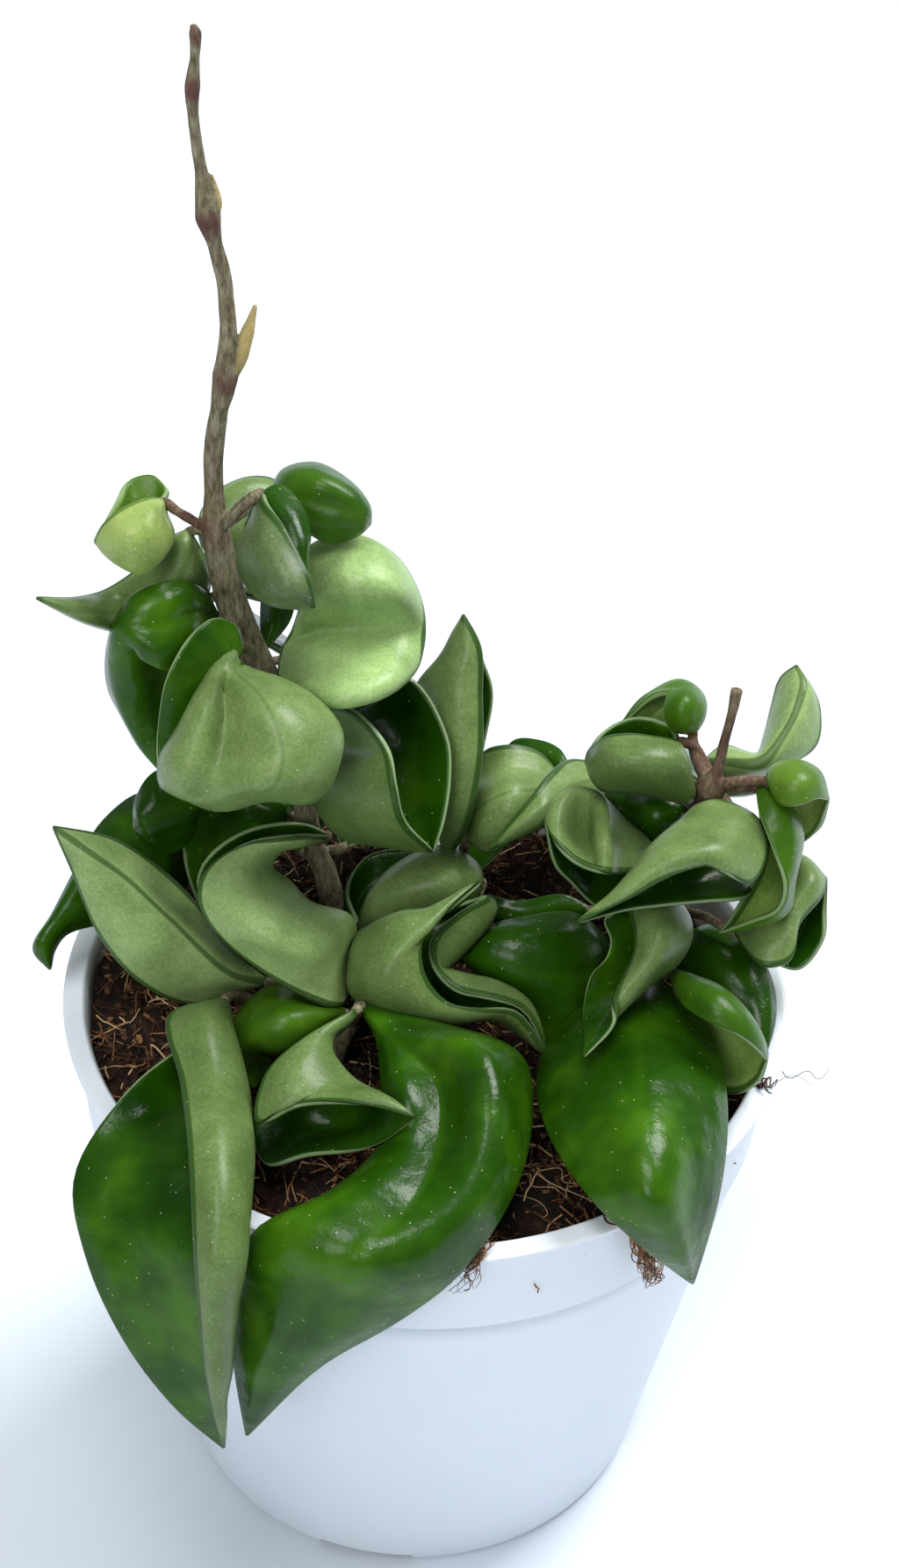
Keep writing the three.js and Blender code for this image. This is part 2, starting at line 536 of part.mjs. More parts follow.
      [[231, 1515, 50], [248, 1515, 52], [263, 1515, 48], [190, 1510, 39], [141, 1520, 35]],
      [[240, 1585, 40], [248, 1585, 42], [256, 1585, 39], [225, 1590, 34], [200, 1600, 31]],
    ],
  },
  // Middle and right: the short stem's leaves
  leaf_mid_dark: {
    base: [702, 1085, -8], tip: [525, 1090, 3], cells: [4, 6],
    rows: [
      [[640, 1193, 1], [650, 1150, 3], [655, 1110, 4], [655, 1070, 3], [655, 1043, -1]],
      [[612, 1186, 1], [603, 1145, 4], [600, 1105, 7], [600, 1070, 6], [600, 1047, 0]],
      [[568, 1135, -2], [560, 1110, 4], [556, 1090, 6], [558, 1072, 5], [560, 1057, 1]],
    ],
  },
  leaf_short_upright: {
    base: [803, 868, 6], tip: [907, 758, 3], cells: [4, 8],
    rows: [
      [[832, 888, 4], [828, 868, 8], [825, 852, 4]],
      [[885, 873, 5], [868, 868, 10], [862, 861, 4]],
      [[927, 848, 3], [893, 838, 9], [873, 838, 1]],
      [[931, 808, 3], [908, 808, 8], [882, 803, 1]],
      [[922, 783, 3], [914, 780, 6], [891, 773, 1]],
    ],
  },
  leaf_short_top: {
    base: [789, 834, 12], tip: [704, 829, 5], cells: [6, 6],
    rows: [
      [[766, 828, 16], [782, 822, 18], [799, 815, 12], [780, 820, 7], [765, 831, 6]],
      [[760, 808, 17], [778, 803, 19], [797, 795, 11], [770, 808, 6], [750, 829, 6]],
      [[762, 791, 15], [767, 788, 14], [773, 780, 9], [752, 805, 5], [738, 829, 5]],
      [[744, 794, 12], [738, 798, 10], [731, 803, 8], [725, 815, 6], [720, 829, 5]],
    ],
  },
  leaf_short_pod: {
    base: [772, 846, 15], tip: [667, 867, 13], cells: [6, 6],
    rows: [
      [[752, 843, 21], [772, 868, 24], [786, 910, 15], [770, 860, 8], [762, 829, 11]],
      [[718, 839, 22], [736, 870, 27], [748, 902, 15], [735, 855, 6], [730, 820, 10]],
      [[692, 842, 21], [702, 868, 26], [712, 899, 14], [708, 860, 6], [703, 827, 9]],
      [[675, 853, 18], [680, 873, 20], [687, 895, 13], [685, 868, 8], [682, 843, 10]],
    ],
  },
  leaf_short_ripple: {
    base: [781, 924, 5], tip: [688, 908, 0], cells: [4, 6],
    rows: [
      [[765, 942, 6], [772, 925, 8], [770, 908, 4]],
      [[745, 957, 6], [745, 925, 9], [745, 897, 2]],
      [[725, 957, 3], [718, 925, 3], [715, 896, 0]],
      [[705, 935, 1], [700, 915, 2], [695, 903, 0]],
    ],
  },
  leaf_short_shell: {
    base: [748, 972, 8], tip: [621, 936, 19], cells: [6, 10],
    rows: [
      [[706, 1040, 5], [722, 985, 3], [728, 954, 8], [727, 974, 15], [722, 990, 17]],
      [[692, 1037, 7], [704, 964, 4], [706, 934, 11], [703, 965, 19], [700, 992, 21]],
      [[682, 1031, 8], [692, 956, 4], [685, 912, 14], [687, 955, 23], [691, 992, 24]],
      [[668, 1020, 9], [678, 952, 4], [674, 905, 14], [673, 950, 13], [677, 990, 24]],
      [[652, 1003, 12], [662, 950, 7], [657, 902, 14], [653, 945, 16], [656, 981, 25]],
      [[633, 983, 15], [637, 945, 12], [635, 913, 16], [633, 942, 21], [634, 961, 24]],
    ],
  },
  leaf_short_twist: {
    base: [829, 915, 13], tip: [657, 1051, 34], cells: [6, 10],
    rows: [
      [[830, 950, 8], [810, 935, 10], [800, 920, 18], [835, 930, 24], [862, 935, 20]],
      [[850, 1000, 10], [800, 970, 12], [778, 939, 21], [825, 955, 31], [871, 968, 24]],
      [[848, 1020, 16], [790, 1000, 15], [757, 953, 23], [810, 968, 35], [852, 1005, 30]],
      [[800, 1025, 20], [770, 1008, 18], [741, 970, 25], [780, 975, 36], [808, 985, 35]],
      [[752, 1029, 24], [738, 1015, 23], [722, 997, 28], [745, 990, 36], [762, 996, 36]],
      [[712, 1035, 29], [702, 1030, 29], [695, 1023, 31], [705, 1020, 36], [715, 1022, 36]],
    ],
  },
  leaf_short_tail: {
    base: [742, 1024, 12], tip: [666, 1203, 34], cells: [6, 10],
    rows: [
      [[720, 1038, 18], [745, 1034, 19], [770, 1030, 12], [735, 1040, 7], [692, 1046, 9]],
      [[726, 1063, 22], [753, 1060, 25], [783, 1060, 14], [745, 1065, 8], [699, 1070, 11]],
      [[724, 1088, 23], [746, 1088, 26], [770, 1090, 15], [738, 1092, 9], [694, 1091, 13]],
      [[713, 1113, 25], [728, 1112, 26], [745, 1113, 18], [718, 1113, 13], [677, 1110, 16]],
      [[701, 1138, 27], [708, 1138, 27], [716, 1138, 23], [697, 1138, 19], [669, 1140, 20]],
      [[698, 1166, 30], [696, 1164, 29], [690, 1163, 27], [681, 1163, 26], [668, 1170, 27]],
    ],
  },
  leaf_short_strip: {
    base: [864, 896, 17], tip: [820, 1063, 15],
    rows: [
      [[868, 925, 13], [880, 925, 12], [892, 915, 17], [882, 915, 22], [868, 925, 23]],
      [[871, 965, 13], [890, 960, 11], [911, 953, 17], [898, 955, 24], [882, 962, 25]],
      [[862, 1000, 13], [885, 1000, 10], [899, 1003, 17], [898, 1003, 23], [895, 1005, 25]],
      [[843, 1033, 13], [865, 1030, 10], [893, 1035, 16], [890, 1037, 20], [887, 1036, 22]],
      [[832, 1050, 14], [845, 1048, 12], [862, 1052, 15], [860, 1051, 17], [857, 1050, 18]],
    ],
  },
  leaf_short_bud: {
    base: [876, 889, 19], tip: [944, 910, 18], cells: [6, 6],
    rows: [
      [[902, 930, 8], [892, 900, 10], [882, 876, 19], [886, 895, 24], [892, 914, 25]],
      [[909, 957, 6], [905, 910, 9], [903, 869, 18], [907, 892, 26], [911, 913, 26]],
      [[930, 944, 9], [930, 910, 11], [928, 878, 18], [928, 893, 24], [930, 906, 24]],
    ],
  },
  leaf_short_cut: {
    base: [838, 1062, 6], tip: [941, 1000, 5],
    rows: [
      [[870, 1098, 13], [868, 1075, 12], [872, 1052, 6], [880, 1075, 1], [885, 1095, 4]],
      [[899, 1091, 13], [893, 1062, 13], [893, 1036, 5], [905, 1070, 1], [910, 1101, 5]],
      [[908, 1052, 12], [906, 1030, 12], [899, 1003, 3], [920, 1045, 0], [936, 1068, 4]],
      [[932, 1022, 9], [925, 1003, 10], [910, 979, 2], [930, 1015, 0], [938, 1035, 3]],
    ],
  },
  leaf_short_round: {
    base: [765, 1093, 1], tip: [870, 1207, 14], cells: [4, 8],
    rows: [
      [[800, 1057, -1], [805, 1080, 5], [808, 1105, 7], [805, 1130, 5], [790, 1150, 1]],
      [[845, 1069, 1], [838, 1095, 7], [830, 1120, 9], [820, 1145, 7], [805, 1165, 3]],
      [[876, 1115, 5], [865, 1130, 9], [850, 1150, 10], [840, 1165, 9], [825, 1180, 6]],
      [[881, 1160, 9], [872, 1168, 11], [862, 1178, 12], [852, 1188, 11], [842, 1197, 9]],
    ],
  },
  leaf_short_fold: {
    base: [762, 1104, 5], tip: [873, 1207, 23],
    rows: [
      [[797, 1190, 8], [794, 1150, 9], [788, 1115, 17], [784, 1130, 24], [783, 1145, 25]],
      [[812, 1235, 14], [820, 1180, 13], [822, 1130, 22], [818, 1148, 30], [812, 1162, 30]],
      [[838, 1243, 17], [850, 1195, 16], [850, 1160, 23], [848, 1168, 29], [842, 1176, 30]],
      [[863, 1230, 20], [868, 1205, 20], [866, 1186, 24], [866, 1190, 26], [864, 1194, 27]],
    ],
  },
  leaf_front_right: {
    base: [740, 1109, 3], tip: [789, 1462, 34], cells: [6, 10],
    rows: [
      [[797, 1160, 15], [762, 1155, 17], [724, 1152, 18], [688, 1150, 16], [655, 1157, 9]],
      [[820, 1215, 24], [778, 1215, 29], [728, 1215, 32], [668, 1215, 28], [615, 1222, 20]],
      [[825, 1290, 33], [785, 1290, 40], [733, 1292, 46], [680, 1296, 42], [630, 1297, 35]],
      [[816, 1360, 38], [783, 1360, 45], [747, 1362, 51], [709, 1362, 48], [674, 1362, 45]],
      [[802, 1415, 37], [785, 1415, 41], [768, 1415, 45], [749, 1415, 44], [730, 1415, 43]],
    ],
  },
  // Small leaves partly hidden by the others
  leaf_tall_silver: {
    base: [226, 915, 12], tip: [153, 945, 13], cells: [4, 6],
    rows: [
      [[215, 955, 10], [208, 930, 13], [200, 905, 13], [192, 878, 11]],
      [[195, 968, 10], [185, 940, 14], [178, 912, 15], [172, 886, 13]],
      [[175, 968, 11], [168, 948, 14], [162, 928, 15], [157, 913, 13]],
    ],
  },
  leaf_tall_under: {
    base: [333, 915, 0], tip: [262, 920, 2], cells: [4, 6],
    rows: [
      [[318, 936, 4], [314, 918, 5], [310, 895, 0]],
      [[290, 932, 4], [288, 913, 5], [286, 890, 0]],
    ],
  },
  leaf_tall_sliver: {
    base: [302, 738, 17], tip: [319, 652, 17], cells: [4, 6],
    rows: [
      [[300, 710, 16], [312, 710, 17], [327, 706, 15]],
      [[303, 675, 18], [316, 675, 19], [332, 675, 17]],
    ],
  },
  leaf_mid_hidden: {
    base: [562, 900, -13], tip: [648, 873, -9], cells: [4, 6],
    rows: [
      [[585, 847, -14], [590, 870, -12], [598, 908, -13]],
      [[618, 847, -13], [622, 868, -10], [625, 900, -12]],
      [[637, 856, -11], [640, 870, -9], [640, 888, -10]],
    ],
  },
  leaf_mid_low: {
    base: [672, 1036, -9], tip: [556, 1020, -4], cells: [4, 6],
    rows: [
      [[640, 1050, -9], [635, 1036, -8], [640, 1022, -9]],
      [[600, 1064, -8], [595, 1045, -6], [595, 1029, -8]],
      [[572, 1054, -6], [568, 1040, -5], [568, 1026, -6]],
    ],
  },
};

// The unseen leaves at the back, as a plan: where the leaf leaves its stem, its heading and
// pitch in degrees, its length, its width, how far its margins rise and how far its tip droops
const REAR_LEAVES = {
  leaf_rear_high: { from: [-35, 27, 161], heading: 56, pitch: -34, size: [34, 21], cup: 3, droop: 2 },
  leaf_rear_left: { from: [-43, 25, 158], heading: 108, pitch: -42, size: [30, 19], cup: 3, droop: 2 },
  leaf_rear_middle: { from: [-24, 25, 149], heading: 84, pitch: -28, size: [38, 25], cup: 6, droop: 7 },
  leaf_rear_side: { from: [-34, 21, 147], heading: 124, pitch: -28, size: [32, 19], cup: 4, droop: 7 },
  leaf_rear_low: { from: [-15, 19, 114], heading: 66, pitch: 8, size: [42, 26], cup: 6, droop: 8 },
  leaf_rear_rim: { from: [-22, 23, 109], heading: 112, pitch: 12, size: [40, 25], cup: 5, droop: 10 },
  leaf_rear_short: { from: [46, 19, 129], heading: 72, pitch: -28, size: [34, 22], cup: 4, droop: 3 },
  leaf_rear_right: { from: [34, 20, 106], heading: 104, pitch: 4, size: [38, 24], cup: 5, droop: 5 },
  leaf_rear_centre: { from: [5, 29, 98], heading: 92, pitch: 14, size: [26, 19], cup: 3, droop: 3 },
};
const REAR_STATIONS = [0.22, 0.45, 0.68, 0.87];
const REAR_WIDTHS = [0.66, 1, 0.92, 0.5];
const REAR_COLUMNS = [-1, -0.5, 0, 0.5, 1];
const REAR_CELLS = [4, 6];

// The rows of points of a rear leaf
function rearRows({ from, heading, pitch, size: [length, width], cup, droop }) {
  const turn = THREE.MathUtils.degToRad(heading);
  const rise = THREE.MathUtils.degToRad(pitch);
  const along = new THREE.Vector3(Math.cos(rise), 0, Math.sin(rise)).applyAxisAngle(UP, turn);
  const sideways = along.clone().cross(UP).normalize();
  const face = sideways.clone().cross(along);
  const at = (s, w) => new THREE.Vector3(...from)
    .addScaledVector(along, s * length)
    .addScaledVector(sideways, w * width / 2)
    .addScaledVector(face, cup * w * w)
    .setZ(from[2] + along.z * s * length + face.z * cup * w * w - droop * s * s);
  return {
    base: at(0, 0),
    tip: at(1, 0),
    rows: REAR_STATIONS.map((s, row) => REAR_COLUMNS.map((column) => at(s, column * REAR_WIDTHS[row]))),
    cells: REAR_CELLS,
  };
}

// Stems, each a run of [x px, y px, mm nearer, radius], and the stalks from them to the leaves
const TALL_STEM = [
  [384, 1150, -23, 2.0], [382, 1100, -17, 2.0], [375, 1010, -7, 2.1], [355, 955, 0, 1.9],
  [345, 905, 6, 2.0], [335, 850, 12, 2.1], [318, 805, 17, 2.3], [290, 755, 22.5, 3.0],
  [275, 715, 26, 2.6], [262, 680, 30, 2.5], [253, 640, 34, 2.4], [246, 605, 38, 2.3],
  [244, 560, 42, 1.5], [243, 520, 46, 1.5], [250, 465, 52, 1.4], [257, 428, 55, 2.0],
  [260, 380, 59, 1.3], [256, 325, 63, 1.15], [244, 275, 68, 1.1], [237, 247, 71, 1.9],
  [229, 195, 75, 0.9], [220, 130, 81, 0.8], [219, 98, 83.5, 1.1], [222, 65, 86, 0.7],
  [222, 38, 88, 0.9], [219, 27, 88.5, 0.4],
];
const SHORT_STEM = [
  [742, 1140, -19, 2.0], [750, 1102, -13, 2.0], [768, 1040, -8, 2.0], [786, 975, -3, 2.0],
  [800, 925, 4, 2.1], [810, 895, 15, 2.6], [816, 880, 17, 1.0], [824, 850, 19, 0.8],
  [833, 815, 22, 0.8], [840, 785, 24, 1.0],
];
const MIDDLE_STEM = [
  [564, 1125, -25, 1.6], [556, 1088, -20, 1.5], [545, 1040, -18, 1.5], [532, 1002, -17, 1.4],
  [521, 985, -15, 1.4],
];
const FRONT_STEM = [
  [376, 1266, -2, 1.8], [376, 1235, 3, 1.8], [382, 1200, 6, 1.7], [398, 1165, 10, 1.6],
];

// Long bud scales on the tall stem
const BUD_SCALES = [
  [[260, 432, 55, 1.2], [273, 405, 57, 1.3], [283, 375, 58, 1.0], [291, 347, 59, 0.35]],
  [[240, 250, 71, 1.0], [247, 232, 72, 0.8], [243, 212, 73, 0.6], [240, 198, 74, 0.35]],
];

// Leaf stalks: the leaf, the radius, and the run from the stem towards the leaf's base
const TALL_STALKS = [
  ['leaf_tall_crown_left', 0.8, 1.2, [246, 605, 38], [225, 596, 40], [203, 583, 41]],
  ['leaf_tall_long_tip', 0.8, 2.4, [246, 605, 38], [232, 604, 35]],
  ['leaf_tall_pouch', 1.0, 1.8, [246, 605, 38], [262, 590, 41], [283, 570, 43]],
  ['leaf_tall_dome', 0.8, -0.2, [246, 605, 38], [268, 590, 36], [292, 573, 33]],
  ['leaf_tall_back', 0.8, -1.2, [246, 605, 38], [236, 604, 34]],
  ['leaf_tall_ear', 0.8, 0.6, [283, 730, 25], [268, 714, 24]],
  ['leaf_tall_pillow', 1.0, -0.6, [290, 755, 22.5], [284, 743, 27]],
  ['leaf_tall_broad', 1.0, 0.7, [290, 755, 22.5], [315, 778, 21]],
  ['leaf_tall_sliver', 0.7, -0.7, [280, 735, 24], [295, 742, 19]],
  ['leaf_mid_cup', 1.0, -1.1, [318, 805, 17], [335, 808, 17]],
  ['leaf_tall_hook', 1.0, -4.0, [355, 955, 0], [366, 955, 2]],
  ['leaf_tall_pale_rim', 0.8, -4.0, [350, 935, 2], [325, 930, -3]],
  ['leaf_tall_under', 0.7, -4.0, [347, 915, 5], [340, 915, 2]],
  ['leaf_tall_silver', 0.8, -0.4, [345, 905, 6], [290, 905, 11], [250, 910, 12]],
  ['leaf_tall_curl_tip', 0.8, -4.0, [350, 935, 2], [300, 925, -13], [250, 945, -12]],
  ['leaf_mid_oval', 0.8, 2.4, [381, 1075, -14], [398, 1072, -8]],
  ['leaf_mid_s_curl', 0.8, 1.2, [381, 1078, -14], [402, 1070, -3]],
  ['leaf_tall_pointed', 0.9, -2.5, [379, 1062, -12], [350, 1098, -6]],
  ['leaf_rear_high', 0.8, -2.1, [256, 655, 32], [263, 664, 26]],
  ['leaf_rear_left', 0.8, -1.6, [262, 682, 30], [243, 680, 24]],
  ['leaf_rear_middle', 0.8, -2.3, [290, 755, 22.5], [300, 755, 15]],
  ['leaf_rear_side', 0.8, -1.8, [290, 755, 22.5], [280, 757, 17]],
  ['leaf_rear_low', 0.9, -3.4, [362, 972, -3], [370, 970, -7]],
  ['leaf_rear_rim', 0.9, -4.0, [362, 975, -3], [354, 975, -10]],
];
const SHORT_STALKS = [
  ['leaf_short_upright', 0.8, 0.8, [810, 895, 15], [800, 880, 11]],
  ['leaf_short_top', 0.9, -0.0, [810, 895, 15], [795, 870, 14], [790, 850, 13]],
  ['leaf_short_pod', 0.9, -4.0, [810, 895, 15], [800, 864, 13], [787, 848, 14]],
  ['leaf_short_ripple', 0.8, 0.3, [801, 922, 5], [792, 922, 5]],
  ['leaf_short_shell', 0.8, -0.5, [788, 968, -2], [765, 972, 4]],
  ['leaf_short_twist', 1.0, 2.3, [810, 895, 15], [817, 905, 13]],
  ['leaf_short_strip', 1.0, -0.6, [810, 895, 15], [840, 896, 17]],
  ['leaf_short_bud', 0.9, 0.5, [810, 895, 15], [845, 890, 19]],
  ['leaf_short_tail', 0.9, 1.4, [776, 1010, -5], [760, 1005, 4], [748, 1012, 10]],
  ['leaf_short_cut', 0.8, -1.0, [769, 1037, -8], [805, 1045, 3]],
  ['leaf_mid_pale_strip', 0.8, -2.2, [800, 925, 4], [750, 900, -5]],
  ['leaf_short_round', 0.9, -2.0, [751, 1098, -12], [753, 1094, -5]],
  ['leaf_short_fold', 0.9, -3.3, [749, 1106, -14], [747, 1108, -4], [752, 1109, 2]],
  ['leaf_front_right', 1.0, -4.0, [748, 1110, -15], [741, 1106, -5]],
  ['leaf_mid_dark', 0.9, -4.0, [751, 1098, -12], [725, 1090, -10]],
  ['leaf_mid_low', 0.7, -1.1, [764, 1055, -9], [715, 1045, -10]],
  ['leaf_rear_short', 0.8, -1.9, [810, 895, 15], [816, 900, 8]],
  ['leaf_rear_right', 0.9, -2.4, [768, 1040, -9], [742, 1036, -12]],
];
const MIDDLE_STALKS = [
  ['leaf_mid_upright', 0.9, -4.0, [521, 985, -15], [516, 979, -12]],
  ['leaf_mid_right_cup', 0.8, -3.3, [521, 985, -15], [528, 970, -12]],
  ['leaf_mid_hidden', 0.8, -1.1, [521, 985, -15], [540, 940, -15]],
  ['leaf_rear_centre', 0.8, -4.0, [540, 1025, -18], [550, 1005, -19]],
];
const FRONT_STALKS = [
  ['leaf_front_comma', 1.0, -4.0, [398, 1165, 10], [405, 1155, 13]],
  ['leaf_front_curl', 0.9, -4.0, [398, 1165, 10], [403, 1157, 16]],
  ['leaf_front_bright', 0.8, 2.4, [394, 1172, 8.5], [396, 1163, 9]],
  ['leaf_front_left', 0.9, -3.9, [380, 1208, 5], [330, 1160, 1], [275, 1135, 8]],
];
const STALK_SIDES = 5;
const STALK_STEPS_PER_POINT = 1;
const STEM_SIDES = 7;
const STEM_STEPS_PER_POINT = 2;
const BURIED_POINTS = 3;

function tracedStem(trace, steps, sides) {
  return stem(trace.map(traced), trace.map((point) => point[3]), steps, sides);
}

// A stem with its leaf stalks and bud scales joined on as one solid
function plantStem(trace, stalks, scales) {
  let solid = solidOf(tracedStem(trace, STEM_STEPS_PER_POINT * (trace.length - 1), STEM_SIDES));
  for (const [leaf, radius, gap, ...points] of stalks) {
    const run = points.map(traced);
    const base = placed((LEAVES[leaf] ?? rearRows(REAR_LEAVES[leaf])).base);
    const back = run.at(-1).clone().sub(base).normalize();
    run.push(base.addScaledVector(back, gap));
    const stalk = stem(run, run.map(() => radius), STALK_STEPS_PER_POINT * points.length, STALK_SIDES);
    solid = solid.add(solidOf(stalk));
  }
  for (const scale of scales) {
    solid = solid.add(solidOf(tracedStem(scale, STALK_STEPS_PER_POINT * scale.length, STALK_SIDES)));
  }
  return geometryOf(solid);
}

// The hole a stem stands in: its buried run, a little wider and deeper
function stemHole(trace) {
  const buried = trace.slice(0, BURIED_POINTS);
  const run = buried.map(traced);
  const deeper = run[0].clone().sub(run[1]).setLength(GAP);
  run[0].add(deeper);
  const radii = buried.map((point) => point[3] + GAP);
  return stem(run, radii, STEM_STEPS_PER_POINT * (BURIED_POINTS - 1), STEM_SIDES);
}

const group = new THREE.Group();

// One named mesh with a material of its own
function addPart(name, geometry, colour, roughness) {
  const material = new THREE.MeshStandardMaterial({ color: colour, roughness, metalness: 0 });
  const mesh = new THREE.Mesh(geometry, material);
  mesh.name = name;
  group.add(mesh);
}

const holes = [TALL_STEM, SHORT_STEM, MIDDLE_STEM, FRONT_STEM].map(stemHole);
addPart('pot', potGeometry(), POT_WHITE, POT_ROUGHNESS);
addPart('soil', soilGeometry(holes), SOIL_BROWN, SOIL_ROUGHNESS);
addPart('stem_tall', plantStem(TALL_STEM, TALL_STALKS, BUD_SCALES), BARK_BROWN, BARK_ROUGHNESS);
addPart('stem_short', plantStem(SHORT_STEM, SHORT_STALKS, []), BARK_BROWN, BARK_ROUGHNESS);
addPart('stem_middle', plantStem(MIDDLE_STEM, MIDDLE_STALKS, []), BARK_BROWN, BARK_ROUGHNESS);
addPart('stem_front', plantStem(FRONT_STEM, FRONT_STALKS, []), BARK_BROWN, BARK_ROUGHNESS);
for (const [name, trace] of Object.entries(LEAVES)) {
  addPart(name, blade(trace), LEAF_GREEN, LEAF_ROUGHNESS);
}
for (const [name, plan] of Object.entries(REAR_LEAVES)) {
  addPart(name, blade(rearRows(plan)), LEAF_GREEN, LEAF_ROUGHNESS);
}

export default group;
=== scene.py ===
"""Hindu rope plant in a white nursery pot: its looks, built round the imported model."""

from __future__ import annotations

import logging
import math
from collections.abc import Callable, Iterable, Sequence
from dataclasses import dataclass, field
from enum import Enum
from functools import partial

import bmesh
import bpy
import numpy as np
from mathutils import Matrix, Vector, noise

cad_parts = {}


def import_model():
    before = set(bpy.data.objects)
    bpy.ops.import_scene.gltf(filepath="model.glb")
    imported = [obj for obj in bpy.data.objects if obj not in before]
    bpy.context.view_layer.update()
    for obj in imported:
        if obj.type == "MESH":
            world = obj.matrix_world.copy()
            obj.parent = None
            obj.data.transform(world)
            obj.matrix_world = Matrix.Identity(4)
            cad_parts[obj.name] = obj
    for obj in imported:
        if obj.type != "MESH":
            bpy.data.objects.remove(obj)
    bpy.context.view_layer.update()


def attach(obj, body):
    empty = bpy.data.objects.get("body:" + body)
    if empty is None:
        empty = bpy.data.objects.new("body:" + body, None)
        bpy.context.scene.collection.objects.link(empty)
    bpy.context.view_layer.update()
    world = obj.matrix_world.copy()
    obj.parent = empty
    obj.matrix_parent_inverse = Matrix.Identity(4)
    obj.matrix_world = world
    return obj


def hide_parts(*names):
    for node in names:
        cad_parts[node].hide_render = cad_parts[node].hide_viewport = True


LOG = logging.getLogger("hindu_rope_plant")

MM = 0.001
BODY = "root"

Point = tuple[float, float, float]
Socket = bpy.types.NodeSocket
Node = bpy.types.Node
Tree = bpy.types.NodeTree
Piece = bpy.types.Object
Material = bpy.types.Material

# Node types and settings that the trees use again and again
NOISE = "ShaderNodeTexNoise"
RAMP = "ShaderNodeValToRGB"
RANGE = "ShaderNodeMapRange"
MATHS = "ShaderNodeMath"
MIX = "ShaderNodeMix"
ATTRIBUTE = "ShaderNodeAttribute"
VECTOR = "ShaderNodeVectorMath"
RANDOM = "FunctionNodeRandomValue"
SMOOTH = {"interpolation_type": "SMOOTHSTEP"}
MULTIPLY = {"operation": "MULTIPLY"}
MULTIPLY_ADD = {"operation": "MULTIPLY_ADD"}
COLOURS = {"data_type": "RGBA"}


def linear(hex_colour: str) -> tuple[float, float, float, float]:
    """Turn an sRGB hex colour into Blender's linear colour.

    Args:
        hex_colour: Six hex digits after a hash, such as "#3f7a26".

    Returns:
        Red, green, blue and alpha, linear, from 0 to 1.
    """
    channels = [int(hex_colour[k : k + 2], 16) / 255 for k in (1, 3, 5)]
    low = [c / 12.92 if c <= 0.04045 else ((c + 0.055) / 1.055) ** 2.4 for c in channels]
    return (low[0], low[1], low[2], 1.0)


def per(size_mm: float) -> float:
    """Give the texture scale whose blotches have a real size, for coordinates in metres."""
    return 1 / (size_mm * MM)


def add_node(
    tree: Tree,
    kind: str,
    inputs: dict | Sequence = (),
    out: int | str = 0,
    stops: Sequence[tuple[float, str]] = (),
    **settings: object,
) -> Socket:
    """Add one node with its settings, and its inputs' values or links.

    Args:
        tree: The node tree, of a material or a modifier.
        kind: The node's Blender type name.
        inputs: Values, hex colours or sockets to link from, in order or by name or number.
        out: The wanted output, by name or number.
        stops: A colour ramp's places from 0 to 1, each with its hex colour.
        settings: Values for the node's own properties.

    Returns:
        The wanted output.
    """
    node = tree.nodes.new(kind)
    for name, value in settings.items():
        setattr(node, name, value)
    for key, value in inputs.items() if isinstance(inputs, dict) else enumerate(inputs):
        if isinstance(value, Socket):
            tree.links.new(value, node.inputs[key])
        else:
            is_colour = isinstance(value, str) and value.startswith("#")
            node.inputs[key].default_value = linear(value) if is_colour else value
    if stops:
        elements = node.color_ramp.elements
        while len(elements) < len(stops):
            elements.new(0.5)
        for element, (place, colour) in zip(elements, stops):
            element.position = place
            element.color = linear(colour)
    return node.outputs[out]


@dataclass
class Shader:
    """A material under construction: its tree, its surface node and its coordinates."""

    name: str
    material: Material = field(init=False)
    surface: Node = field(init=False)
    place: Socket = field(init=False)
    add: Callable[..., Socket] = field(init=False)

    def __post_init__(self) -> None:
        """Make the material with one Principled surface and Object coordinates."""
        self.material = bpy.data.materials.new(self.name)
        self.material.use_nodes = True
        self.surface = self.material.node_tree.nodes["Principled BSDF"]
        self.add = partial(add_node, self.material.node_tree)
        self.place = self.add("ShaderNodeTexCoord", out="Object")

    def dress(self, *relief: tuple[Socket, float], **values: Socket | float | tuple) -> Material:
        """Set or link the surface's inputs and stack relief on it.

        Args:
            relief: A height socket from 0 to 1 with its real height in millimetres, each.
            values: The inputs, with underscores for the spaces in their names.

        Returns:
            The finished material.
        """
        for height, depth_mm in relief:
            bump = {"Height": height, "Strength": 1.0, "Distance": depth_mm * MM}
            if "Normal" in values:
                bump["Normal"] = values["Normal"]
            values["Normal"] = self.add("ShaderNodeBump", bump)
        for name, value in values.items():
            target = self.surface.inputs[name.replace("_", " ")]
            if isinstance(value, Socket):
                self.material.node_tree.links.new(value, target)
            else:
                target.default_value = value
        return self.material


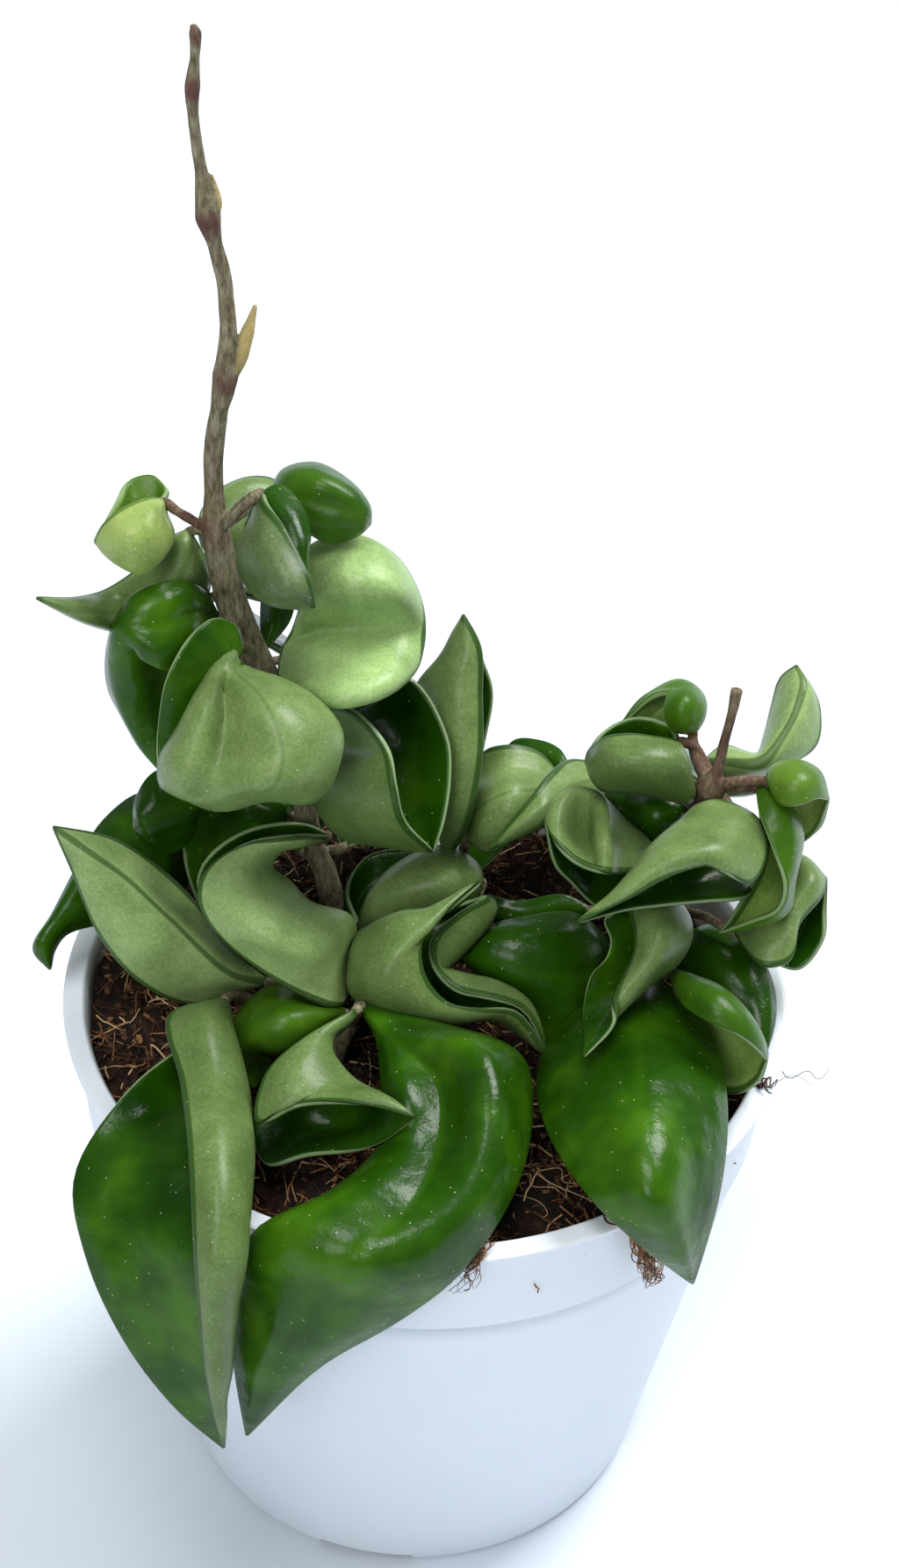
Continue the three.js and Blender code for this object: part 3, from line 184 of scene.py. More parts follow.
@dataclass(frozen=True)
class LeafFinish:
    """Living hoya leaf: a thick waxy cuticle over green flesh.

    To the eye the upper side is deep, wet-looking green with broad soft highlights and a
    thin bright line where the rounded margin catches the light; that line is a painted highlight.
    The underside is satin, grey-green, finely mottled, with a dark green margin, and a dark line of
    painted shade lies in its midrib's groove.
    """

    name: str
    upper_deep: str = "#0e3000"
    upper_mid: str = "#234a04"
    upper_light: str = "#47740b"
    under_deep: str = "#566e3b"
    under_mid: str = "#6a834a"
    under_light: str = "#80985c"
    margin: str = "#23470f"
    # Painted highlight: the pale line where the rounded margin catches the light
    edge: str = "#9db684"
    dust: str = "#c9d4a6"
    fleck: str = "#36481f"
    upper_roughness: float = 0.25
    under_roughness: float = 0.35
    # Strength of the painted shade line in the midrib's groove on the underside
    crease: float = 0.3
    outer_mm: tuple[float, float] = (35.0, 75.0)
    outer_light: float = 0.1
    patch_mm: float = 17.0
    mottle_mm: float = 0.55
    blotch_mm: float = 6.6
    rib_mm: float = 1.6
    wave_mm: float = 8.0
    wrinkle_mm: float = 3.0
    margin_mm: float = 0.75
    dust_mm: float = 2.0
    fleck_mm: float = 4.5
    dot_mm: float = 0.15
    margin_share: float = 0.85
    edge_highlight_share: float = 0.6
    dust_share: float = 0.55
    fleck_share: float = 0.6
    relief_mm: tuple[float, float, float] = (0.6, 0.2, 0.03)
    gloss: float = 0.27

    def dots(self, shader: Shader, spacing_mm: float, strength: float) -> Socket:
        """Strew dots through space, so that a few of them meet the leaf's skin.

        Args:
            shader: The material.
            spacing_mm: How far the dots lie apart.
            strength: The value in a dot.

        Returns:
            The strength in a dot and 0 outside.
        """
        cells = {"Vector": shader.place, "Scale": per(spacing_mm)}
        distance = shader.add("ShaderNodeTexVoronoi", cells, "Distance")
        reach = self.dot_mm / spacing_mm
        return shader.add(RANGE, [distance, 0.6 * reach, reach, strength, 0.0], **SMOOTH)

    def under_colour(
        self, shader: Shader, mottle: Socket, blotch: Socket, rib_near: Socket, rim: Socket
    ) -> Socket:
        """Mix the underside's green: a dark line of painted shade in the midrib's groove, and darker
        just inside its margin.
        """
        add = shader.add
        cloudy = add(MATHS, [blotch, 0.55], **MULTIPLY)
        factor = add(MATHS, [mottle, 0.45, cloudy], **MULTIPLY_ADD)
        stops = [(0.32, self.under_deep), (0.5, self.under_mid), (0.68, self.under_light)]
        colour = add(RAMP, [factor], stops=stops)
        for share, tone in (
            (add(MATHS, [rib_near, 0.3], **MULTIPLY), self.under_light),
            # Painted shade: a dark line in the midrib's groove
            (add(RANGE, [rib_near, 0.86, 0.97, 0.0, self.crease], **SMOOTH), self.margin),
            (add(RANGE, [rim, 0.35, self.margin_mm, self.margin_share, 0.0], **SMOOTH), self.margin),
            (self.dots(shader, self.fleck_mm, self.fleck_share), self.fleck),
        ):
            colour = add(MIX, {0: share, 6: colour, 7: tone}, 2, **COLOURS)
        return colour

    def material(self) -> Material:
        """Build the leaf material.

        Returns:
            The material, which reads the blade's own attributes lay and rim.
        """
        shader = Shader(self.name)
        add = shader.add
        lay = add(ATTRIBUTE, out="Vector", attribute_name="lay")
        rib, from_base, side = add("ShaderNodeSeparateXYZ", [lay]).node.outputs
        rim = add(ATTRIBUTE, out="Fac", attribute_name="rim")
        patches, mottle, blotch, waves, wrinkles = (
            add(NOISE, {"Vector": shader.place, "Scale": per(size), "Detail": fine, "Roughness": rough})
            for size, fine, rough in (
                (self.patch_mm, 3.0, 0.6),
                (self.mottle_mm, 2.0, 0.7),
                (self.blotch_mm, 3.0, 0.5),
                (self.wave_mm, 1.0, 0.4),
                (self.wrinkle_mm, 3.0, 0.55),
            )
        )
        off_rib = add(MATHS, [rib], operation="ABSOLUTE")
        rib_near = add(RANGE, [off_rib, 0.0, self.rib_mm, 1.0, 0.0], **SMOOTH)

        outer = add(RANGE, [from_base, *self.outer_mm, 0.0, self.outer_light], **SMOOTH)
        factor = add(MATHS, [patches, outer], operation="ADD")
        stops = [(0.3, self.upper_deep), (0.55, self.upper_mid), (0.85, self.upper_light)]
        upper = add(RAMP, [factor], stops=stops)
        along_rib = add(MATHS, [rib_near, 0.12], **MULTIPLY)
        upper = add(MIX, {0: along_rib, 6: upper, 7: self.upper_light}, 2, **COLOURS)
        under = self.under_colour(shader, mottle, blotch, rib_near, rim)
        is_upper = add(RANGE, [side, 0.1, 0.4], **SMOOTH)
        colour = add(MIX, {0: is_upper, 6: under, 7: upper}, 2, **COLOURS)
        off_middle = add(MATHS, [side, 0.5], operation="SUBTRACT")
        off_edge = add(MATHS, [off_middle], operation="ABSOLUTE")
        # Painted highlight along the rounded margin, on both sides
        edge_highlight_mask = add(RANGE, [off_edge, 0.15, 0.35, self.edge_highlight_share, 0.0], **SMOOTH)
        dusty = self.dots(shader, self.dust_mm, self.dust_share)
        for share, tone in ((edge_highlight_mask, self.edge), (dusty, self.dust)):
            colour = add(MIX, {0: share, 6: colour, 7: tone}, 2, **COLOURS)

        uneven = add(MATHS, [blotch, 0.1, self.under_roughness - 0.05], **MULTIPLY_ADD)
        smoother = self.upper_roughness - self.under_roughness
        wavy, crinkled = (
            add(MATHS, [relief, add(MATHS, [is_upper, more, least], **MULTIPLY_ADD)], **MULTIPLY)
            for relief, more, least in ((waves, 0.7, 0.3), (wrinkles, 0.55, 0.45))
        )
        return shader.dress(
            *zip((wavy, crinkled, mottle), self.relief_mm),
            Base_Color=colour,
            Roughness=add(MATHS, [is_upper, smoother, uneven], **MULTIPLY_ADD),
            IOR=1.45,
            Specular_IOR_Level=self.gloss,
        )


class LeafTone(Enum):
    """The greens that the plant's leaves show, from old to newly grown, and SHADE, a darker copy whose
    underside is painted shade.
    """

    DARK = LeafFinish("hoya leaf, dark")
    FRESH = LeafFinish(
        "hoya leaf, fresh", upper_deep="#24480a", upper_mid="#3f6810", upper_light="#638a20",
        upper_roughness=0.33, under_deep="#64853c", under_mid="#7f9f4f", under_light="#95b35f",
    )
    YOUNG = LeafFinish(
        "hoya leaf, young", upper_deep="#36590f", upper_mid="#517320", upper_light="#74933a",
        upper_roughness=0.35, under_deep="#7a9148", under_mid="#91a85a", under_light="#a5ba6c",
        margin="#4f6e2b",
    )
    PALE = LeafFinish(
        "hoya leaf, pale beneath", crease=0.08, under_deep="#78955a", under_mid="#92b06d",
        under_light="#a9c684",
    )
    # A strong painted shade line in the midrib's groove beneath
    CREASED = LeafFinish(
        "hoya leaf, creased beneath", crease=0.7, under_deep="#6f8a52", under_mid="#88a464",
        under_light="#a0bc7b",
    )
    # Painted shade: a darker underside for leaves that lie in shade
    SHADE = LeafFinish(
        "hoya leaf, olive beneath", crease=0.6, under_deep="#4a6230", under_mid="#5b733e",
        under_light="#6e864e",
    )
    GREY = LeafFinish(
        "hoya leaf, greyed", under_deep="#43562f", under_mid="#556941", under_light="#697d54",
    )


@dataclass(frozen=True)
class BarkFinish:
    """Woody hoya stem: thin, dry, grey-tan bark with dark fissures along it.

    To the eye it is matt and flecked, purple-brown at the joints between the years' growth,
    and straw yellow on the dry bud scales.
    """

    name: str = "hoya bark"
    deep: str = "#383226"
    mid: str = "#70684f"
    light: str = "#9a917b"
    joint: str = "#5a3431"
    straw: str = "#b3a066"
    streak_mm: float = 0.75
    fibre_mm: float = 0.3
    tone_mm: float = 6.0
    spot_mm: float = 1.2
    stretch: float = 0.28
    relief_mm: tuple[float, float] = (0.4, 0.12)

    def material(self) -> Material:
        """Build the bark material, which reads the stem's own attributes knot and husk."""
        shader = Shader(self.name)
        add = shader.add
        mapping = {"Vector": shader.place, "Scale": (1.0, 1.0, self.stretch)}
        stretched = add("ShaderNodeMapping", mapping)
        streaks, fibres, spots, tones = (
            add(NOISE, {"Vector": place, "Scale": per(size), "Detail": fine, "Roughness": rough})
            for place, size, fine, rough in (
                (stretched, self.streak_mm, 3.0, 0.7),
                (stretched, self.fibre_mm, 2.0, 0.6),
                (stretched, self.spot_mm, 2.0, 0.6),
                (shader.place, self.tone_mm, 2.0, 0.5),
            )
        )
        streaky = add(MATHS, [streaks, 0.7], **MULTIPLY)
        factor = add(MATHS, [tones, 0.3, streaky], **MULTIPLY_ADD)
        stops = [(0.34, self.deep), (0.48, self.mid), (0.66, self.light)]
        colour = add(RAMP, [factor], stops=stops)
        patchy = add(RANGE, [spots, 0.3, 0.6, 0.5, 1.0], **SMOOTH)
        for name, share, tone in (("knot", patchy, self.joint), ("husk", 0.8, self.straw)):
            there = add(ATTRIBUTE, out="Fac", attribute_name=name)
            factor = add(MATHS, [there, share], **MULTIPLY)
            colour = add(MIX, {0: factor, 6: colour, 7: tone}, 2, **COLOURS)
        return shader.dress(
            *zip((streaks, fibres), self.relief_mm),
            Base_Color=colour,
            Roughness=0.85,
            IOR=1.45,
            Specular_IOR_Level=0.3,
        )


@dataclass(frozen=True)
class PotFinish:
    """Injection-moulded polypropylene, white.

    To the eye it is smooth and faintly glossy, a cool white whose shadows turn blue-grey,
    with a very slight waviness from the mould and dust specks near the rim. A band under the
    collar's edge is painted shadow, and the channels of its underside are darkened with painted shade.
    """

    name: str = "white polypropylene"
    white: str = "#e3e9f0"
    shade: str = "#d7e0e9"
    dust: str = "#8d7460"
    # Painted shadow: the colour of the soft shadow under the collar's overhanging edge
    collar_shade: str = "#aab5c1"
    # Painted shade: the darker colour inside the channels of the underside
    channel_shade: str = "#8f8b84"
    cloud_mm: float = 38.0
    fine_mm: float = 1.2
    dust_mm: float = 3.0
    rim: tuple[float, float] = (93.0 * MM, 101.5 * MM)
    collar: float = 82.6 * MM
    band: float = 5.5 * MM
    channel_top: float = 2.1 * MM
    channel_r: float = 41.2 * MM
    soft: float = 0.4 * MM
    relief_mm: tuple[float, float] = (0.12, 0.01)

    def material(self) -> Material:
        """Build the pot material."""
        shader = Shader(self.name)
        add = shader.add
        clouds, fine, specks = (
            add(NOISE, {"Vector": shader.place, "Scale": per(size), "Detail": fine, "Roughness": rough})
            for size, fine, rough in (
                (self.cloud_mm, 2.0, 0.5), (self.fine_mm, 2.0, 0.6), (self.dust_mm, 4.0, 0.75)
            )
        )
        height = add("ShaderNodeSeparateXYZ", [shader.place], 2)
        flat = add(VECTOR, [shader.place, (1.0, 1.0, 0.0)], **MULTIPLY)
        radius = add(VECTOR, [flat], "Value", operation="LENGTH")
        specky = add(RANGE, [specks, 0.66, 0.74, 0.0, 0.55], **SMOOTH)
        near_rim = add(RANGE, [height, *self.rim], **SMOOTH)
        # Painted shadow under the collar's edge, growing weaker downwards over the band
        collar_shadow_fade = add(RANGE, [height, self.collar - self.band, self.collar, 0.0, 0.75], **SMOOTH)
        under_collar_edge = add(RANGE, [height, self.collar - self.soft, self.collar, 1.0, 0.0], **SMOOTH)
        # Painted shade inside the channels of the underside, under their ceiling and inside their reach
        top = self.channel_top
        low = add(RANGE, [height, top, top + self.soft / 2, 0.7, 0.0], **SMOOTH)
        within = add(RANGE, [radius, self.channel_r, self.channel_r + self.soft, 1.0, 0.0], **SMOOTH)
        colour = add(MIX, {0: clouds, 6: self.white, 7: self.shade}, 2, **COLOURS)
        for first, second, tone in (
            (specky, near_rim, self.dust),
            (collar_shadow_fade, under_collar_edge, self.collar_shade),
            (low, within, self.channel_shade),
        ):
            share = add(MATHS, [first, second], **MULTIPLY)
            colour = add(MIX, {0: share, 6: colour, 7: tone}, 2, **COLOURS)
        return shader.dress(
            *zip((clouds, fine), self.relief_mm),
            Base_Color=colour,
            Roughness=add(MATHS, [fine, 0.12, 0.3], **MULTIPLY_ADD),
            IOR=1.49,
            Subsurface_Weight=0.12,
            Subsurface_Scale=2 * MM,
        )


@dataclass(frozen=True)
class SoilFinish:
    """Damp peat and coir potting mix.

    To the eye it is nearly black brown between lighter torn fibres, wholly matt.
    """

    name: str = "peat potting mix"
    deep: str = "#0b0604"
    mid: str = "#21130c"
    light: str = "#4a3020"
    crumb_mm: float = 1.6
    clod_mm: float = 9.0
    relief_mm: float = 0.8

    def material(self) -> Material:
        """Build the soil material."""
        shader = Shader(self.name)
        add = shader.add
        crumbs, clods = (
            add(NOISE, {"Vector": shader.place, "Scale": per(size), "Detail": fine, "Roughness": rough})
            for size, fine, rough in ((self.crumb_mm, 5.0, 0.72), (self.clod_mm, 2.0, 0.5))
        )
        crumbly = add(MATHS, [crumbs, 0.68], **MULTIPLY)
        factor = add(MATHS, [clods, 0.35, crumbly], **MULTIPLY_ADD)
        stops = [(0.4, self.deep), (0.52, self.mid), (0.68, self.light)]
        colour = add(RAMP, [factor], stops=stops)
        return shader.dress((crumbs, self.relief_mm), Base_Color=colour, Roughness=0.94, IOR=1.4)


@dataclass(frozen=True)
class CoirFinish:
    """Torn coconut fibre and peat crumbs, dry.

    To the eye each strand has its own brown, from near black to pale straw.
    """

    name: str = "coir fibre"
    deep: str = "#1b0e07"
    mid: str = "#57361f"
    light: str = "#a5764b"
    pale: str = "#dcbc8e"
    fine_mm: float = 0.6
    relief_mm: float = 0.1

    def material(self) -> Material:
        """Build the coir material, which reads each strand's own attribute tint."""
        shader = Shader(self.name)
        add = shader.add
        tint = add(ATTRIBUTE, out="Fac", attribute_name="tint")
        sizes = {"Vector": shader.place, "Scale": per(self.fine_mm), "Detail": 2.0, "Roughness": 0.6}
        fine = add(NOISE, sizes)
        darker = add(MATHS, [tint, 0.12], operation="SUBTRACT")
        factor = add(MATHS, [fine, 0.25, darker], **MULTIPLY_ADD)
        stops = [(0.1, self.deep), (0.5, self.mid), (0.82, self.light), (0.97, self.pale)]
        colour = add(RAMP, [factor], stops=stops)
        return shader.dress((fine, self.relief_mm), Base_Color=colour, Roughness=0.85, IOR=1.45)


@dataclass(frozen=True)
class PaperFinish:
    """Seamless white studio card: matt, cool white, with no texture to draw the eye."""

    name: str = "studio card"
    white: str = "#dbe3ec"

    def material(self) -> Material:
        """Build the floor material."""
        return Shader(self.name).dress(Base_Color=linear(self.white), Roughness=0.75, IOR=1.4)


@dataclass(frozen=True)
class PhotoCamera:
    """The photograph's camera, in millimetres and in the photograph's own pixels.

    A traced place is (x px, y px, mm nearer the camera than the middle of the pot's rim).
    """

    distance: float = 427.0
    focal_px: float = 2922.0
    centre_px: tuple[float, float] = (512.0, 893.0)
    shift_px: tuple[float, float] = (-26.3, 226.1)
    elevation: float = math.radians(39.19)
    roll: float = math.radians(2.46)
    rim_height: float = 101.5
    sensor_mm: float = 36.0
    long_side_px: float = 1786.0

    def axes(self) -> tuple[Vector, Vector, Vector]:
        """Give the camera's right, up and back directions."""
        back = Vector((0, -math.cos(self.elevation), math.sin(self.elevation)))
        turn = Matrix.Rotation(self.roll, 3, back)
        up = Vector((0, math.sin(self.elevation), math.cos(self.elevation)))
        return turn @ Vector((1, 0, 0)), turn @ up, back

    def place(self, traced: Sequence[float]) -> Vector:
        """Turn a traced place into millimetres in the object's own frame.

        Args:
            traced: x px, y px and mm nearer; anything after them is ignored.

        Returns:
            The place, in millimetres.
        """
        px, py, near = traced[:3]
        right, up, back = self.axes()
        depth = self.distance - near
        across = ((px - self.centre_px[0]) * depth - self.shift_px[0] * self.distance) / self.focal_px
        upward = ((self.centre_px[1] - py) * depth + self.shift_px[1] * self.distance) / self.focal_px
        return Vector((0, 0, self.rim_height)) + across * right + upward * up + near * back

    def build(self) -> None:
        """Add the camera to the scene."""
        right, up, back = self.axes()
        centre = self.place((*self.centre_px, self.distance))
        data = bpy.data.cameras.new("photo_camera")
        data.sensor_width = self.sensor_mm
        data.lens = self.focal_px * self.sensor_mm / self.long_side_px
        data.clip_start = 0.01
        data.dof.use_dof = False
        camera = bpy.data.objects.new("photo_camera", data)
        turn = Matrix((right, up, back)).transposed().to_4x4()
        camera.matrix_world = Matrix.Translation(centre * MM) @ turn
        bpy.context.collection.objects.link(camera)
        bpy.context.scene.camera = camera


CAMERA = PhotoCamera()


def rail(points: np.ndarray, shares: np.ndarray) -> np.ndarray:
    """Follow a centripetal Catmull-Rom curve through points.

    Args:
        points: The points, one a row.
        shares: Places along the curve from 0 to 1, an even share for each span.

    Returns:
        The curve's points, one a row for each share.
    """
    ends = (2 * points[:1] - points[1:2], 2 * points[-1:] - points[-2:-1])
    padded = np.concatenate((ends[0], points, ends[1]))
    spans = len(points) - 1
    place = np.clip(shares, 0, 1) * spans
    span = np.minimum(place.astype(int), spans - 1)
    w = (place - span)[:, None]
    p0, p1, p2, p3 = (padded[span + k] for k in range(4))
    d0, d1, d2 = (
        np.sqrt(np.maximum(np.linalg.norm(b - a, axis=1), 1e-8))[:, None]
        for a, b in ((p0, p1), (p1, p2), (p2, p3))
    )
    t1 = ((p1 - p0) / d0 - (p2 - p0) / (d0 + d1) + (p2 - p1) / d1) * d1
    t2 = ((p2 - p1) / d1 - (p3 - p1) / (d1 + d2) + (p3 - p2) / d2) * d1
    cubic = 2 * p1 - 2 * p2 + t1 + t2
    square = -3 * p1 + 3 * p2 - 2 * t1 - t2
    return ((cubic * w + square) * w + t1) * w + p1


def unit(vectors: np.ndarray) -> np.ndarray:
    """Bring vectors to length 1."""
    lengths = np.linalg.norm(vectors, axis=-1, keepdims=True)
    return vectors / np.maximum(lengths, 1e-12)


def ring_faces(rings: int, count: int) -> list[tuple[int, ...]]:
    """Give the faces of a closed loft, with a fan at both ends.

    Args:
        rings: How many rings of points there are.
        count: How many points each ring has.

    Returns:
        The faces; the two fans' middle points come right after the last ring.
    """
    faces: list[tuple[int, ...]] = []
    for j in range(rings - 1):
        start = j * count
        for i in range(count):
            k = (i + 1) % count
            faces.append((start + i, start + k, start + count + k, start + count + i))
    first = rings * count
    last = first - count
    for i in range(count):
        k = (i + 1) % count
        faces.append((first, k, i))
        faces.append((first + 1, last + i, last + k))
    return faces


def mesh_piece(name: str, points_mm: np.ndarray, faces: Iterable[Sequence[int]]) -> Piece:
    """Make a smooth mesh object at the origin.

    Args:
        name: The piece's name.
        points_mm: Its points, in millimetres.
        faces: Its faces.

    Returns:
        The object, linked to the scene.
    """
    mesh = bpy.data.meshes.new(name)
    mesh.from_pydata((np.asarray(points_mm) * MM).tolist(), [], [tuple(face) for face in faces])
    mesh.shade_smooth()
    piece = bpy.data.objects.new(name, mesh)
    bpy.context.collection.objects.link(piece)
    return piece


def put_attribute(piece: Piece, name: str, values: np.ndarray) -> None:
    """Store a value or a vector at each of a mesh's points.

    Args:
        piece: The mesh object.
        name: The attribute's name.
        values: One number or three for each point.
    """
    is_vector = values.ndim == 2
    kind = "FLOAT_VECTOR" if is_vector else "FLOAT"
    attribute = piece.data.attributes.new(name, kind, "POINT")
    attribute.data.foreach_set("vector" if is_vector else "value", values.astype(np.float32).ravel())


def finish_piece(
    piece: Piece, material: Material, slot: str, *nodes: str
) -> None:
    """Dress a piece, seat it on the plant's body and let it stand for its nodes.

    Args:
        piece: The finished mesh.
        material: Its material.
        slot: The record's material slot.
        nodes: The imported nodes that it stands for.
    """
    piece.data.materials.clear()
    piece.data.materials.append(material)
    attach(piece, BODY)
    if nodes:
        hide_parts(*nodes)
    triangles = sum(len(polygon.vertices) - 2 for polygon in piece.data.polygons)
    LOG.info("%s: %d triangles, material %s", piece.name, triangles, material.name)


@dataclass(frozen=True)
class LeafTrace:
    """One leaf as traced: its base, its tip, the rows of places between, and its green.

    Each row runs across the blade. The dark upper side faces the way that the row's
    direction turned towards the tip points out.
    """

    base: Point
    tip: Point
    rows: tuple[tuple[Point, ...], ...]
    tone: LeafTone = LeafTone.DARK


